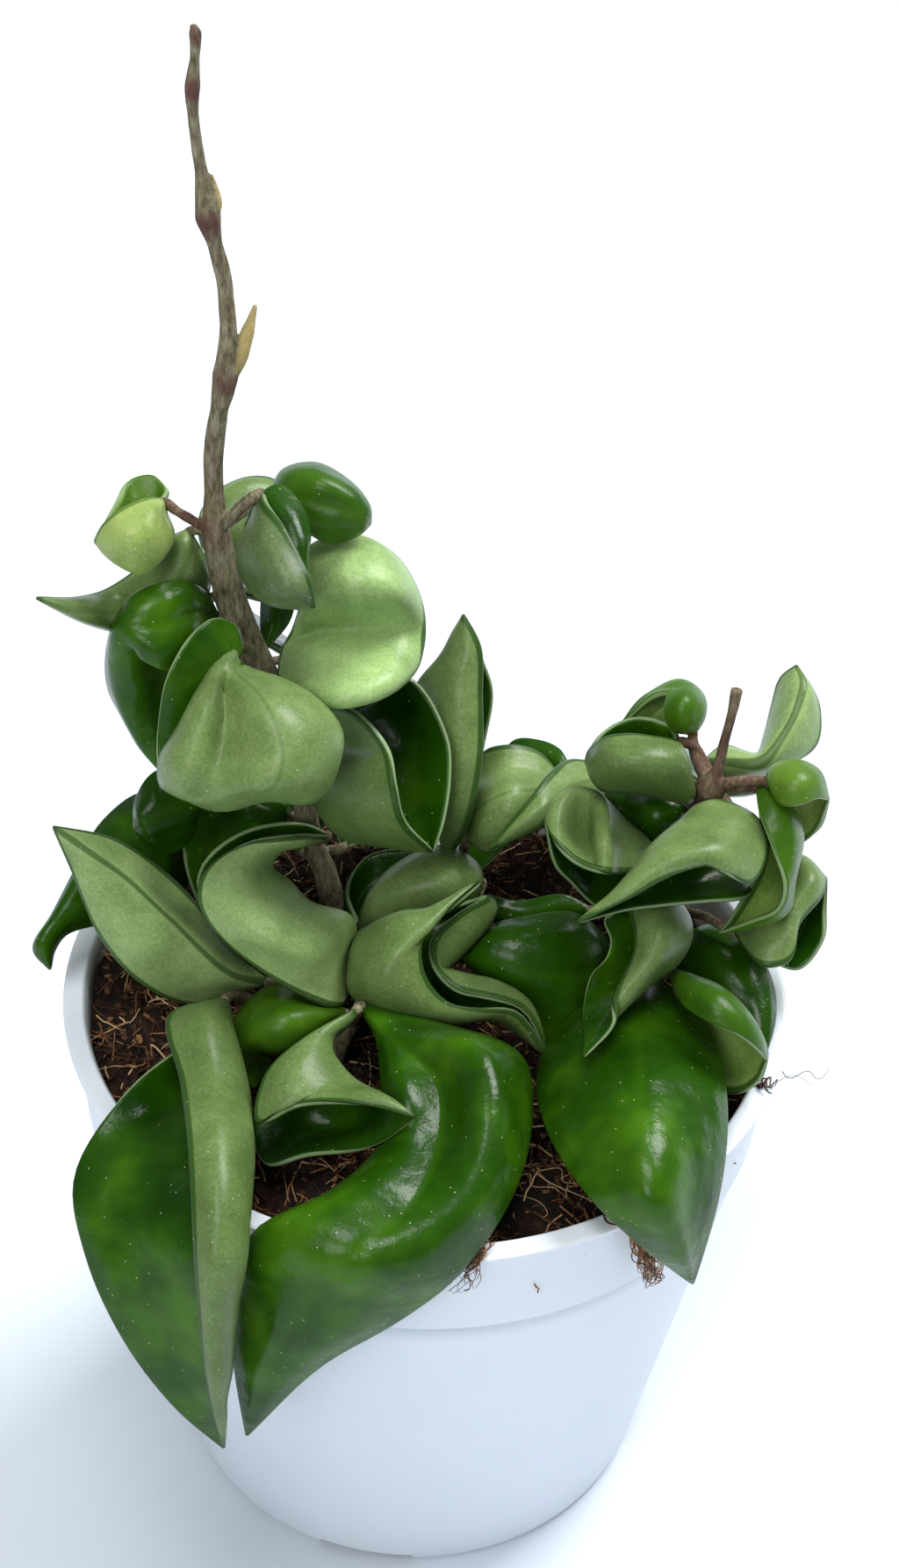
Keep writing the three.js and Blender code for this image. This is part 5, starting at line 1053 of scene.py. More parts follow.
@dataclass
class Blade:
    """One thick, waxy leaf blade, grown round a middle surface.

    The middle surface is a grid of places, rows from base to tip and columns across. The
    blade gets its thickness to both sides of it, with rounded margins.
    """

    name: str
    rails: np.ndarray
    across: int = 30
    along: int = 46
    thick_mm: float = 1.9
    margin_thick_mm: float = 1.15
    margin_reach_mm: float = 3.0
    tip_thick_mm: float = 0.45
    tip_reach: float = 0.22
    tip_fullness: float = 0.7
    base_share: float = 0.05
    tip_share: float = 0.012
    smoothing: int = 1
    bulge_mm: float = 0.42
    bulge_spacing_mm: float = 9.0
    calm_mm: float = 4.0
    groove_mm: float = 0.22
    groove_width_mm: float = 0.9
    groove_through: float = 0.35
    rim_turns: tuple[float, ...] = (30.0, 60.0, 90.0, 120.0, 150.0)

    def middle_surface(self) -> np.ndarray:
        """Lay out the grid of the middle surface.

        Returns:
            Places in millimetres, by row, column and axis.
        """
        spans = self.rails.shape[1] - 1
        shares = np.linspace(self.base_share / spans, 1 - self.tip_share / spans, self.along + 1)
        lines = np.stack([rail(points, shares) for points in self.rails], axis=1)
        even = np.linspace(0, 1, self.across + 1)
        grid = np.stack([rail(line, even) for line in lines])
        for _ in range(self.smoothing):
            grid = self.relaxed(grid)
        return grid

    @staticmethod
    def relaxed(grid: np.ndarray) -> np.ndarray:
        """Ease kinks out of a grid without drawing in its margins."""
        eased = grid.copy()
        eased[1:-1] = 0.5 * grid[1:-1] + 0.25 * (grid[:-2] + grid[2:])
        inner = eased[:, 1:-1]
        eased[:, 1:-1] = 0.5 * inner + 0.25 * (eased[:, :-2] + eased[:, 2:])
        return eased

    def thickness(self, spread: np.ndarray) -> np.ndarray:
        """Give the blade's thickness over the grid.

        Args:
            spread: Distance from the margin in millimetres, over the grid.

        Returns:
            Thickness in millimetres, over the grid.
        """
        rows = np.linspace(0, 1, self.along + 1)[:, None]
        inward = np.clip(spread / self.margin_reach_mm, 0, 1)
        body = self.margin_thick_mm + (self.thick_mm - self.margin_thick_mm) * inward
        tip = np.clip((1 - rows) / self.tip_reach, 0, 1) ** self.tip_fullness
        return self.tip_thick_mm + (body - self.tip_thick_mm) * tip

    def measures(self, grid: np.ndarray) -> tuple[np.ndarray, np.ndarray, np.ndarray]:
        """Measure where each place of the middle surface lies on the blade.

        Args:
            grid: The middle surface.

        Returns:
            Millimetres from the midrib, from the nearer margin and from the base.
        """
        steps = np.linalg.norm(np.diff(grid, axis=1), axis=2)
        run = np.concatenate((np.zeros((len(grid), 1)), np.cumsum(steps, axis=1)), axis=1)
        middle = self.across // 2
        climb = np.linalg.norm(np.diff(grid[:, middle], axis=0), axis=1)
        from_base = np.concatenate(([0], np.cumsum(climb)))[:, None] * np.ones_like(run)
        return run - run[:, middle : middle + 1], np.minimum(run, run[:, -1:] - run), from_base

    def wrapped(self, values: np.ndarray) -> np.ndarray:
        """Carry values on the middle surface round both margins: upper side, margin, underside."""
        ends = [np.repeat(values[:, column], len(self.rim_turns), axis=1) for column in ([-1], [0])]
        return np.concatenate((values, ends[0], values[:, ::-1], ends[1]), axis=1)

    def build(self) -> Piece:
        """Make the blade.

        Returns:
            The mesh, with the attributes lay (mm from the midrib, mm from the base, 1 on
            the upper side) and rim (mm from the margin).
        """
        grid = self.middle_surface()
        sideways, onward = (unit(np.gradient(grid, axis=axis)) for axis in (1, 0))
        normal = unit(np.cross(sideways, onward))
        normal[0], normal[-1] = normal[1], normal[-2]
        from_rib, from_margin, from_base = self.measures(grid)

        bulge = np.array([
            [noise.noise(Vector(place) / self.bulge_spacing_mm) for place in row] for row in grid
        ])
        calm = np.clip(from_margin / self.calm_mm, 0, 1)
        middle = grid + normal * (self.bulge_mm * bulge * calm)[..., None]
        half = self.thickness(from_margin)[..., None] / 2
        groove = (self.groove_mm * np.exp(-((from_rib / self.groove_width_mm) ** 2)) * calm)[..., None]
        upper = middle + normal * (half - groove)
        under = middle - normal * (half - self.groove_through * groove)

        turns = np.radians(self.rim_turns)[:, None]
        spokes = [
            half[:, column] * (np.sin(turns) * sideways[:, column] + np.cos(turns) * normal[:, column])
            for column in ([-1], [0])
        ]
        margins = (middle[:, [-1]] + spokes[0], middle[:, [0]] - spokes[1])
        rings = np.concatenate((upper, margins[0], under[:, ::-1], margins[1]), axis=1)
        points = np.concatenate((rings.reshape(-1, 3), rings[[0, -1]].mean(axis=1)))
        faces = [face[::-1] for face in ring_faces(*rings.shape[:2])]
        piece = mesh_piece(self.name, points, faces)

        turned = (1 + np.cos(turns[:, 0])) / 2
        flat = np.ones(self.across + 1)
        sides = np.concatenate((flat, turned, 0 * flat, turned[::-1]))
        places = self.wrapped(from_rib), self.wrapped(from_base)
        lay = np.stack((*places, np.broadcast_to(sides, places[0].shape)), axis=2)
        put_attribute(piece, "lay", np.concatenate((lay.reshape(-1, 3), lay[[0, -1], 0])))
        put_attribute(piece, "rim", np.append(self.wrapped(from_margin), (0, 0)))
        return piece


@dataclass
class Foliage:
    """All the plant's leaves, traced and unseen."""

    materials: dict[LeafTone, Material] = field(default_factory=dict)

    def rails_of(self, trace: LeafTrace) -> np.ndarray:
        """Give a traced leaf's rails, one for each column, from base to tip in millimetres."""
        base, tip = (np.array(CAMERA.place(end)) for end in (trace.base, trace.tip))
        rows = [[np.array(CAMERA.place(spot)) for spot in row] for row in trace.rows]
        return np.array([[base, *column, tip] for column in zip(*rows)])

    def rails_behind(self, plan: RearPlan) -> np.ndarray:
        """Give an unseen leaf's rails from its plan, one for each column."""
        heading, pitch = math.radians(plan.heading), math.radians(plan.pitch)
        flat = math.cos(pitch)
        onward = Vector((math.cos(heading) * flat, math.sin(heading) * flat, math.sin(pitch)))
        sideways = onward.cross(Vector((0, 0, 1))).normalized()
        face = sideways.cross(onward)
        rails = []
        for column in REAR_COLUMNS:
            spots = []
            for station, width in zip(REAR_STATIONS, REAR_WIDTHS):
                w = column * width
                spot = Vector(plan.start) + station * plan.length * onward
                spot += w * plan.width / 2 * sideways + plan.cup * w * w * face
                spot.z -= plan.droop * station * station
                spots.append(spot)
            rails.append(spots)
        return np.array(rails)

    def leaf(self, name: str, rails: np.ndarray, tone: LeafTone) -> None:
        """Build and dress one leaf."""
        if tone not in self.materials:
            self.materials[tone] = tone.value.material()
        blade = Blade(f"blade_{name}", rails).build()
        finish_piece(blade, self.materials[tone], "leaf", f"leaf_{name}")

    def build(self) -> None:
        """Build every leaf."""
        for name, trace in LEAVES.items():
            self.leaf(name, self.rails_of(trace), trace.tone)
        for name, plan in REAR_LEAVES.items():
            self.leaf(name, self.rails_behind(plan), LeafTone.DARK)


# Stems, each a run of (x px, y px, mm nearer, radius in mm), and the leaf stalks on them:
# the leaf, the radius, and the run from the stem towards the leaf's base
TALL_STEM = (
    (384, 1150, -23, 2.0), (382, 1100, -17, 2.0), (375, 1010, -7, 2.1), (355, 955, 0, 1.9),
    (345, 905, 6, 2.0), (335, 850, 12, 2.1), (318, 805, 17, 2.3), (290, 755, 22.5, 3.0),
    (275, 715, 26, 2.6), (262, 680, 30, 2.5), (253, 640, 34, 2.4), (246, 605, 38, 2.3),
    (244, 560, 42, 1.5), (243, 520, 46, 1.5), (250, 465, 52, 1.4), (257, 428, 55, 2.0),
    (260, 380, 59, 1.3), (256, 325, 63, 1.15), (244, 275, 68, 1.1), (237, 247, 71, 1.9),
    (229, 195, 75, 0.9), (220, 130, 81, 0.8), (219, 98, 83.5, 1.1), (222, 65, 86, 0.7),
    (222, 38, 88, 0.9), (219, 27, 88.5, 0.4),
)
SHORT_STEM = (
    (742, 1140, -19, 2.0), (750, 1102, -13, 2.0), (768, 1040, -8, 2.0), (786, 975, -3, 2.0),
    (800, 925, 4, 2.1), (810, 895, 15, 2.6), (816, 880, 17, 1.0), (824, 850, 19, 0.8),
    (833, 815, 22, 0.8), (840, 785, 24, 1.0),
)
MIDDLE_STEM = (
    (564, 1125, -25, 1.6), (556, 1088, -20, 1.5), (545, 1040, -18, 1.5), (532, 1002, -17, 1.4),
    (521, 985, -15, 1.4),
)
FRONT_STEM = (
    (376, 1266, -2, 1.8), (376, 1235, 3, 1.8), (382, 1200, 6, 1.7), (398, 1165, 10, 1.6),
)
BUD_SCALES = (
    ((260, 432, 55, 1.2), (273, 405, 57, 1.3), (283, 375, 58, 1.0), (291, 347, 59, 0.35)),
    ((240, 250, 71, 1.0), (247, 232, 72, 0.8), (243, 212, 73, 0.6), (240, 198, 74, 0.35)),
)
TALL_STALKS = (
    ("tall_crown_left", 0.8, ((246, 605, 38), (225, 596, 40), (203, 583, 41))),
    ("tall_long_tip", 0.8, ((246, 605, 38), (232, 604, 35))),
    ("tall_pouch", 1.0, ((246, 605, 38), (262, 590, 41), (283, 570, 43))),
    ("tall_dome", 0.8, ((246, 605, 38), (268, 590, 36), (292, 573, 33))),
    ("tall_back", 0.8, ((246, 605, 38), (236, 604, 34))),
    ("tall_ear", 0.8, ((283, 730, 25), (268, 714, 24))),
    ("tall_pillow", 1.0, ((290, 755, 22.5), (284, 743, 27))),
    ("tall_broad", 1.0, ((290, 755, 22.5), (315, 778, 21))),
    ("tall_sliver", 0.7, ((280, 735, 24), (295, 742, 19))),
    ("mid_cup", 1.0, ((318, 805, 17), (335, 808, 17))),
    ("tall_hook", 1.0, ((355, 955, 0), (366, 955, 2))),
    ("tall_pale_rim", 0.8, ((350, 935, 2), (325, 930, -3))),
    ("tall_under", 0.7, ((347, 915, 5), (340, 915, 2))),
    ("tall_silver", 0.8, ((345, 905, 6), (290, 905, 11), (250, 910, 12))),
    ("tall_curl_tip", 0.8, ((350, 935, 2), (300, 925, -13), (250, 945, -12))),
    ("mid_oval", 0.8, ((381, 1075, -14), (398, 1072, -8))),
    ("mid_s_curl", 0.8, ((381, 1078, -14), (402, 1070, -3))),
    ("tall_pointed", 0.9, ((379, 1062, -12), (350, 1098, -6))),
    ("rear_high", 0.8, ((256, 655, 32), (263, 664, 26))),
    ("rear_left", 0.8, ((262, 682, 30), (243, 680, 24))),
    ("rear_middle", 0.8, ((290, 755, 22.5), (300, 755, 15))),
    ("rear_side", 0.8, ((290, 755, 22.5), (280, 757, 17))),
    ("rear_low", 0.9, ((362, 972, -3), (370, 970, -7))),
    ("rear_rim", 0.9, ((362, 975, -3), (354, 975, -10))),
)
SHORT_STALKS = (
    ("short_upright", 0.8, ((810, 895, 15), (800, 880, 11))),
    ("short_top", 0.9, ((810, 895, 15), (795, 870, 14), (790, 850, 13))),
    ("short_pod", 0.9, ((810, 895, 15), (800, 864, 13), (787, 848, 14))),
    ("short_ripple", 0.8, ((801, 922, 5), (792, 922, 5))),
    ("short_shell", 0.8, ((788, 968, -2), (765, 972, 4))),
    ("short_twist", 1.0, ((810, 895, 15), (817, 905, 13))),
    ("short_strip", 1.0, ((810, 895, 15), (840, 896, 17))),
    ("short_bud", 0.9, ((810, 895, 15), (845, 890, 19))),
    ("short_tail", 0.9, ((776, 1010, -5), (760, 1005, 4), (748, 1012, 10))),
    ("short_cut", 0.8, ((769, 1037, -8), (805, 1045, 3))),
    ("mid_pale_strip", 0.8, ((800, 925, 4), (750, 900, -5))),
    ("short_round", 0.9, ((751, 1098, -12), (753, 1094, -5))),
    ("short_fold", 0.9, ((749, 1106, -14), (747, 1108, -4), (752, 1109, 2))),
    ("front_right", 1.0, ((748, 1110, -15), (741, 1106, -5))),
    ("mid_dark", 0.9, ((751, 1098, -12), (725, 1090, -10))),
    ("mid_low", 0.7, ((764, 1055, -9), (715, 1045, -10))),
    ("rear_short", 0.8, ((810, 895, 15), (816, 900, 8))),
    ("rear_right", 0.9, ((768, 1040, -9), (742, 1036, -12))),
)
MIDDLE_STALKS = (
    ("mid_upright", 0.9, ((521, 985, -15), (516, 979, -12))),
    ("mid_right_cup", 0.8, ((521, 985, -15), (528, 970, -12))),
    ("mid_hidden", 0.8, ((521, 985, -15), (540, 940, -15))),
    ("rear_centre", 0.8, ((540, 1025, -18), (550, 1005, -19))),
)
FRONT_STALKS = (
    ("front_comma", 1.0, ((398, 1165, 10), (405, 1155, 13))),
    ("front_curl", 0.9, ((398, 1165, 10), (403, 1157, 16))),
    ("front_bright", 0.8, ((394, 1172, 8.5), (396, 1163, 9))),
    ("front_left", 0.9, ((380, 1208, 5), (330, 1160, 1), (275, 1135, 8))),
)
# Joints between the years of growth: the place, how far the colour reaches in mm, its strength
TALL_JOINTS = (
    ((219, 100, 83.5), 2.6, 0.9), ((223, 40, 88), 1.9, 0.7), ((237, 256, 71), 2.9, 0.9),
    ((257, 432, 55), 2.9, 0.85), ((246, 607, 38), 3.4, 0.55), ((284, 740, 24), 3.6, 0.35),
    ((203, 583, 41), 5.5, 0.6), ((225, 596, 40), 3.5, 0.6),
)
SHORT_JOINTS = (((807, 893, 8), 30.0, 0.7),)


def swept(run: np.ndarray, radii: np.ndarray, sides: int) -> tuple[np.ndarray, list[tuple[int, ...]]]:
    """Sweep a circle along a run of places, with a radius at each.

    Args:
        run: Places along the middle, in millimetres.
        radii: The radius at each place.
        sides: How many points go round.

    Returns:
        The points, and the faces of the closed solid.
    """
    tangents = unit(np.gradient(run, axis=0))
    normal = np.cross(tangents[0], (0.0, 1.0, 0.0))
    turns = np.arange(sides) * 2 * math.pi / sides
    rings = []
    for place, tangent, radius in zip(run, tangents, radii):
        normal = normal - tangent * normal.dot(tangent)
        normal = normal / np.linalg.norm(normal)
        circle = np.outer(np.cos(turns), normal) + np.outer(np.sin(turns), np.cross(tangent, normal))
        rings.append(place + radius * circle)
    points = np.concatenate(rings + [run[:1], run[-1:]])
    return points, [face[::-1] for face in ring_faces(len(run), sides)]


@dataclass
class Stem:
    """A woody stem with its leaf stalks and bud scales, fused into one skin."""

    name: str
    trace: Sequence[tuple[float, ...]]
    stalks: Sequence[tuple[str, float, Sequence[Point]]]
    scales: Sequence[Sequence[tuple[float, ...]]] = ()
    step_mm: float = 0.8
    sides: int = 14
    skin_mm: float = 0.28
    ridge_mm: float = 0.12
    ridge_spacing_mm: float = 1.3
    ridge_stretch: float = 0.3
    stalk_ends: tuple[float, float] = (1.15, 0.75)
    inset_mm: float = 1.5
    inset_share: float = 0.2
    joints: Sequence[tuple[Sequence[float], float, float]] = ()
    points: list[np.ndarray] = field(default_factory=list)
    faces: list[tuple[int, ...]] = field(default_factory=list)

    def add_run(self, spots: Sequence[Vector], radii: Sequence[float]) -> None:
        """Add one swept run to the stem.

        Args:
            spots: Places along its middle, in millimetres.
            radii: The radius at each place.
        """
        line = np.array([tuple(spot) for spot in spots])
        length = np.linalg.norm(np.diff(line, axis=0), axis=1).sum()
        shares = np.linspace(0, 1, max(4, round(length / self.step_mm)))
        sizes = np.interp(shares, np.linspace(0, 1, len(radii)), radii)
        points, faces = swept(rail(line, shares), sizes, self.sides)
        base = sum(len(part) for part in self.points)
        self.points.append(points)
        self.faces += [tuple(base + corner for corner in face) for face in faces]

    def add_traced(self, run: Sequence[tuple[float, ...]]) -> None:
        """Add a run of traced places that carry their own radii."""
        self.add_run([CAMERA.place(spot) for spot in run], [spot[3] for spot in run])

    def leaf_base(self, leaf: str) -> tuple[Vector, Vector]:
        """Give a leaf's base, and a place a little way into its blade."""
        behind = leaf in REAR_LEAVES
        foliage = Foliage()
        rails = foliage.rails_behind(REAR_LEAVES[leaf]) if behind else foliage.rails_of(LEAVES[leaf])
        base, onward = (Vector(spot) for spot in rails[len(rails) // 2][:2])
        inward = onward - base
        inset = min(self.inset_mm, self.inset_share * inward.length)
        return base, base + inward.normalized() * inset

    def build(self) -> Piece:
        """Sweep, fuse and roughen the stem.

        Returns:
            The mesh, with the attributes knot, 1 at the joints, and husk, 1 on the scales.
        """
        start, end = self.stalk_ends
        self.add_traced(self.trace)
        for leaf, radius, spots in self.stalks:
            run = [*(CAMERA.place(spot) for spot in spots), *self.leaf_base(leaf)]
            self.add_run(run, [radius * start] + [radius] * (len(run) - 2) + [radius * end])
        for scale in self.scales:
            self.add_traced(scale)
        piece = mesh_piece(self.name, np.concatenate(self.points), self.faces)
        return self.skinned(piece)

    def skinned(self, piece: Piece) -> Piece:
        """Fuse the swept runs into one skin with bark ridges.

        Args:
            piece: The mesh of separate runs.

        Returns:
            The same object with its fused mesh.
        """
        fuse = piece.modifiers.new("fuse", "REMESH")
        fuse.mode = "VOXEL"
        fuse.voxel_size = self.skin_mm * MM
        soften = piece.modifiers.new("soften", "SMOOTH")
        soften.iterations = 3
        soften.factor = 0.4
        apply_modifiers(piece)
        mesh = piece.data
        count = 3 * len(mesh.vertices)
        places, normals = np.empty(count, np.float32), np.empty(count, np.float32)
        mesh.vertices.foreach_get("co", places)
        mesh.vertices.foreach_get("normal", normals)
        places, normals = places.reshape(-1, 3), normals.reshape(-1, 3)
        stretched = places / MM * (1.0, 1.0, self.ridge_stretch) / self.ridge_spacing_mm
        ridges = np.array([noise.noise(Vector(place)) for place in stretched])
        rough = places + normals * (self.ridge_mm * MM * ridges)[:, None]
        mesh.vertices.foreach_set("co", rough.astype(np.float32).ravel())
        knots = np.zeros(len(places))
        for spot, reach, strength in self.joints:
            gap = np.linalg.norm(places / MM - np.array(CAMERA.place(spot)), axis=1)
            knots = np.maximum(knots, strength * np.clip(2 * (1 - gap / reach), 0, 1))
        mesh.shade_smooth()
        put_attribute(piece, "knot", knots)
        put_attribute(piece, "husk", self.husks(places / MM))
        return piece

    def husks(self, places: np.ndarray) -> np.ndarray:
        """Say where the skin belongs to a bud scale.

        Args:
            places: The skin's points, in millimetres.

        Returns:
            1 on a bud scale and 0 elsewhere, for each point.
        """
        wood = self.clearance(places, self.trace)
        husk = np.zeros(len(places))
        for scale in self.scales:
            husk = np.maximum(husk, np.clip(1.5 * (wood - self.clearance(places, scale)), 0, 1))
        return husk

    @staticmethod
    def clearance(places: np.ndarray, run: Sequence[Sequence[float]]) -> np.ndarray:
        """Give how far places lie outside a traced run of the stem's radius, in millimetres."""
        shares = np.linspace(0, 1, 8 * len(run))
        line = rail(np.array([tuple(CAMERA.place(spot)) for spot in run]), shares)
        radii = np.interp(shares, np.linspace(0, 1, len(run)), [spot[3] for spot in run])
        nearest = np.full(len(places), np.inf)
        for spot, radius in zip(line, radii):
            nearest = np.minimum(nearest, np.linalg.norm(places - spot, axis=1) - radius)
        return nearest


def apply_modifiers(piece: Piece) -> None:
    """Turn a piece's modifiers into plain mesh, and remove them.

    Args:
        piece: The mesh object.
    """
    bpy.context.view_layer.update()
    evaluated = piece.evaluated_get(bpy.context.evaluated_depsgraph_get())
    mesh = bpy.data.meshes.new_from_object(evaluated)
    old = piece.data
    piece.modifiers.clear()
    piece.data = mesh
    bpy.data.meshes.remove(old)
    mesh.name = piece.name


@dataclass
class Pot:
    """White plastic nursery pot: a turned shell with drainage cut into its floor."""

    rim_r: float = 60.0
    base_r: float = 42.8
    height: float = 101.5
    collar_drop: float = 18.9
    collar_step: float = 0.9
    collar_top_r: float = 58.0
    collar_low_r: float = 57.2
    lip_width: float = 3.6
    lip_thick: float = 1.3
    wall: float = 1.5
    floor: float = 4.0
    foot_chamfer: float = 1.2
    segments: int = 180
    channel_count: int = 4
    channel_width: float = 16.7
    channel_depth: float = 2.0
    channel_start_r: float = 14.0
    channel_turn: float = math.radians(261)
    drain_r: float = 4.0
    drain_at_r: float = 29.0

    def profile(self) -> list[tuple[float, float]]:
        """Give the shell's outline as radius and height, from the underside's middle round."""
        collar_z = self.height - self.collar_drop
        wall_r = self.collar_low_r - self.collar_step
        lip_z = self.height - self.lip_thick
        lip_in = self.rim_r - self.lip_width
        soft = 0.45
        corners = [
            (0, 0, 0), (self.base_r - self.foot_chamfer, 0, 0.3), (self.base_r, self.foot_chamfer, 0.3),
            (wall_r, collar_z - 2 * self.collar_step, soft),
            (wall_r + 0.4, collar_z - self.collar_step, soft), (self.collar_low_r, collar_z, soft),
            (self.collar_top_r, lip_z - 0.4, soft), (self.rim_r - 0.2, lip_z, soft),
            (self.rim_r, self.height - 0.2, 0.6), (self.rim_r - 0.5, self.height, 0.5),
            (lip_in + 0.4, self.height, 0.5), (lip_in, self.height - 0.5, 0.5),
            (lip_in - 0.4, lip_z - 0.4, soft), (self.collar_low_r - self.wall, collar_z, soft),
            (wall_r - self.wall, collar_z - 2 * self.collar_step, soft),
            (self.base_r - self.wall, self.floor + self.foot_chamfer, 0.3),
            (self.base_r - self.wall - self.foot_chamfer, self.floor, 0.3), (0, self.floor, 0),
        ]
        outline: list[tuple[float, float]] = []
        for k, (r, z, reach) in enumerate(corners):
            here = Vector((r, z))
            if reach == 0:
                outline.append((r, z))
                continue
            before, after = Vector(corners[k - 1][:2]), Vector(corners[k + 1][:2])
            reach = min(reach, 0.45 * (before - here).length, 0.45 * (after - here).length)
            start = here + (before - here).normalized() * reach
            end = here + (after - here).normalized() * reach
            for share in (0, 0.25, 0.5, 0.75, 1):
                spot = start.lerp(here, share).lerp(here.lerp(end, share), share)
                outline.append((spot.x, spot.y))
        return outline

    def shell(self) -> Piece:
        """Turn the outline into the pot's closed shell."""
        outline = self.profile()
        inner = outline[1:-1]
        turns = np.arange(self.segments) * 2 * math.pi / self.segments
        rings = [
            np.stack((r * np.cos(turns), r * np.sin(turns), np.full(self.segments, z)), axis=1)
            for r, z in inner
        ]
        ends = np.array([(0.0, 0.0, outline[0][1]), (0.0, 0.0, outline[-1][1])])
        faces = ring_faces(len(rings), self.segments)
        return mesh_piece("pot_shell", np.concatenate(rings + [ends]), faces)

    def cutters(self) -> list[Piece]:
        """Make the channels and drain holes that are cut from the floor."""
        pieces = []
        length = self.base_r + 5 - self.channel_start_r
        for k in range(self.channel_count):
            angle = self.channel_turn + 2 * math.pi * k / self.channel_count
            turn = Matrix.Rotation(angle, 4, "Z")
            channel = bmesh.new()
            bmesh.ops.create_cube(channel, size=1)
            size = Matrix.Diagonal((length, self.channel_width, 2 * self.channel_depth, 1))
            middle = Matrix.Translation((self.channel_start_r + length / 2, 0, 0))
            channel.transform(Matrix.Scale(MM, 4) @ turn @ middle @ size)
            hole = bmesh.new()
            bmesh.ops.create_cone(
                hole, cap_ends=True, segments=40, radius1=self.drain_r, radius2=self.drain_r,
                depth=4 * self.floor,
            )
            hole.transform(Matrix.Scale(MM, 4) @ turn @ Matrix.Translation((self.drain_at_r, 0, 0)))
            for name, cut in (("channel", channel), ("drain", hole)):
                mesh = bpy.data.meshes.new(f"{name}_{k}")
                cut.to_mesh(mesh)
                cut.free()
                piece = bpy.data.objects.new(mesh.name, mesh)
                bpy.context.collection.objects.link(piece)
                pieces.append(piece)
        return pieces

    def build(self) -> None:
        """Build and dress the pot."""
        pot = self.shell()
        cutters = self.cutters()
        for cutter in cutters:
            cut = pot.modifiers.new("cut", "BOOLEAN")
            cut.operation = "DIFFERENCE"
            cut.solver = "EXACT"
            cut.object = cutter
        apply_modifiers(pot)
        for cutter in cutters:
            bpy.data.objects.remove(cutter)
        pot.data.shade_smooth()
        pot.data.set_sharp_from_angle(angle=math.radians(40))
        finish_piece(pot, PotFinish().material(), "pot_plastic", "pot")

    def inner_radius(self, z: float) -> float:
        """Give the shell's inner radius at a height."""
        collar_z = self.height - self.collar_drop
        wall_r = self.collar_low_r - self.collar_step
        if z > collar_z:
            return self.collar_low_r - self.wall
        low, high = self.floor + self.foot_chamfer, collar_z - 2 * self.collar_step
        share = min(max((z - low) / (high - low), 0), 1)
        return self.base_r + (wall_r - self.base_r) * share - self.wall


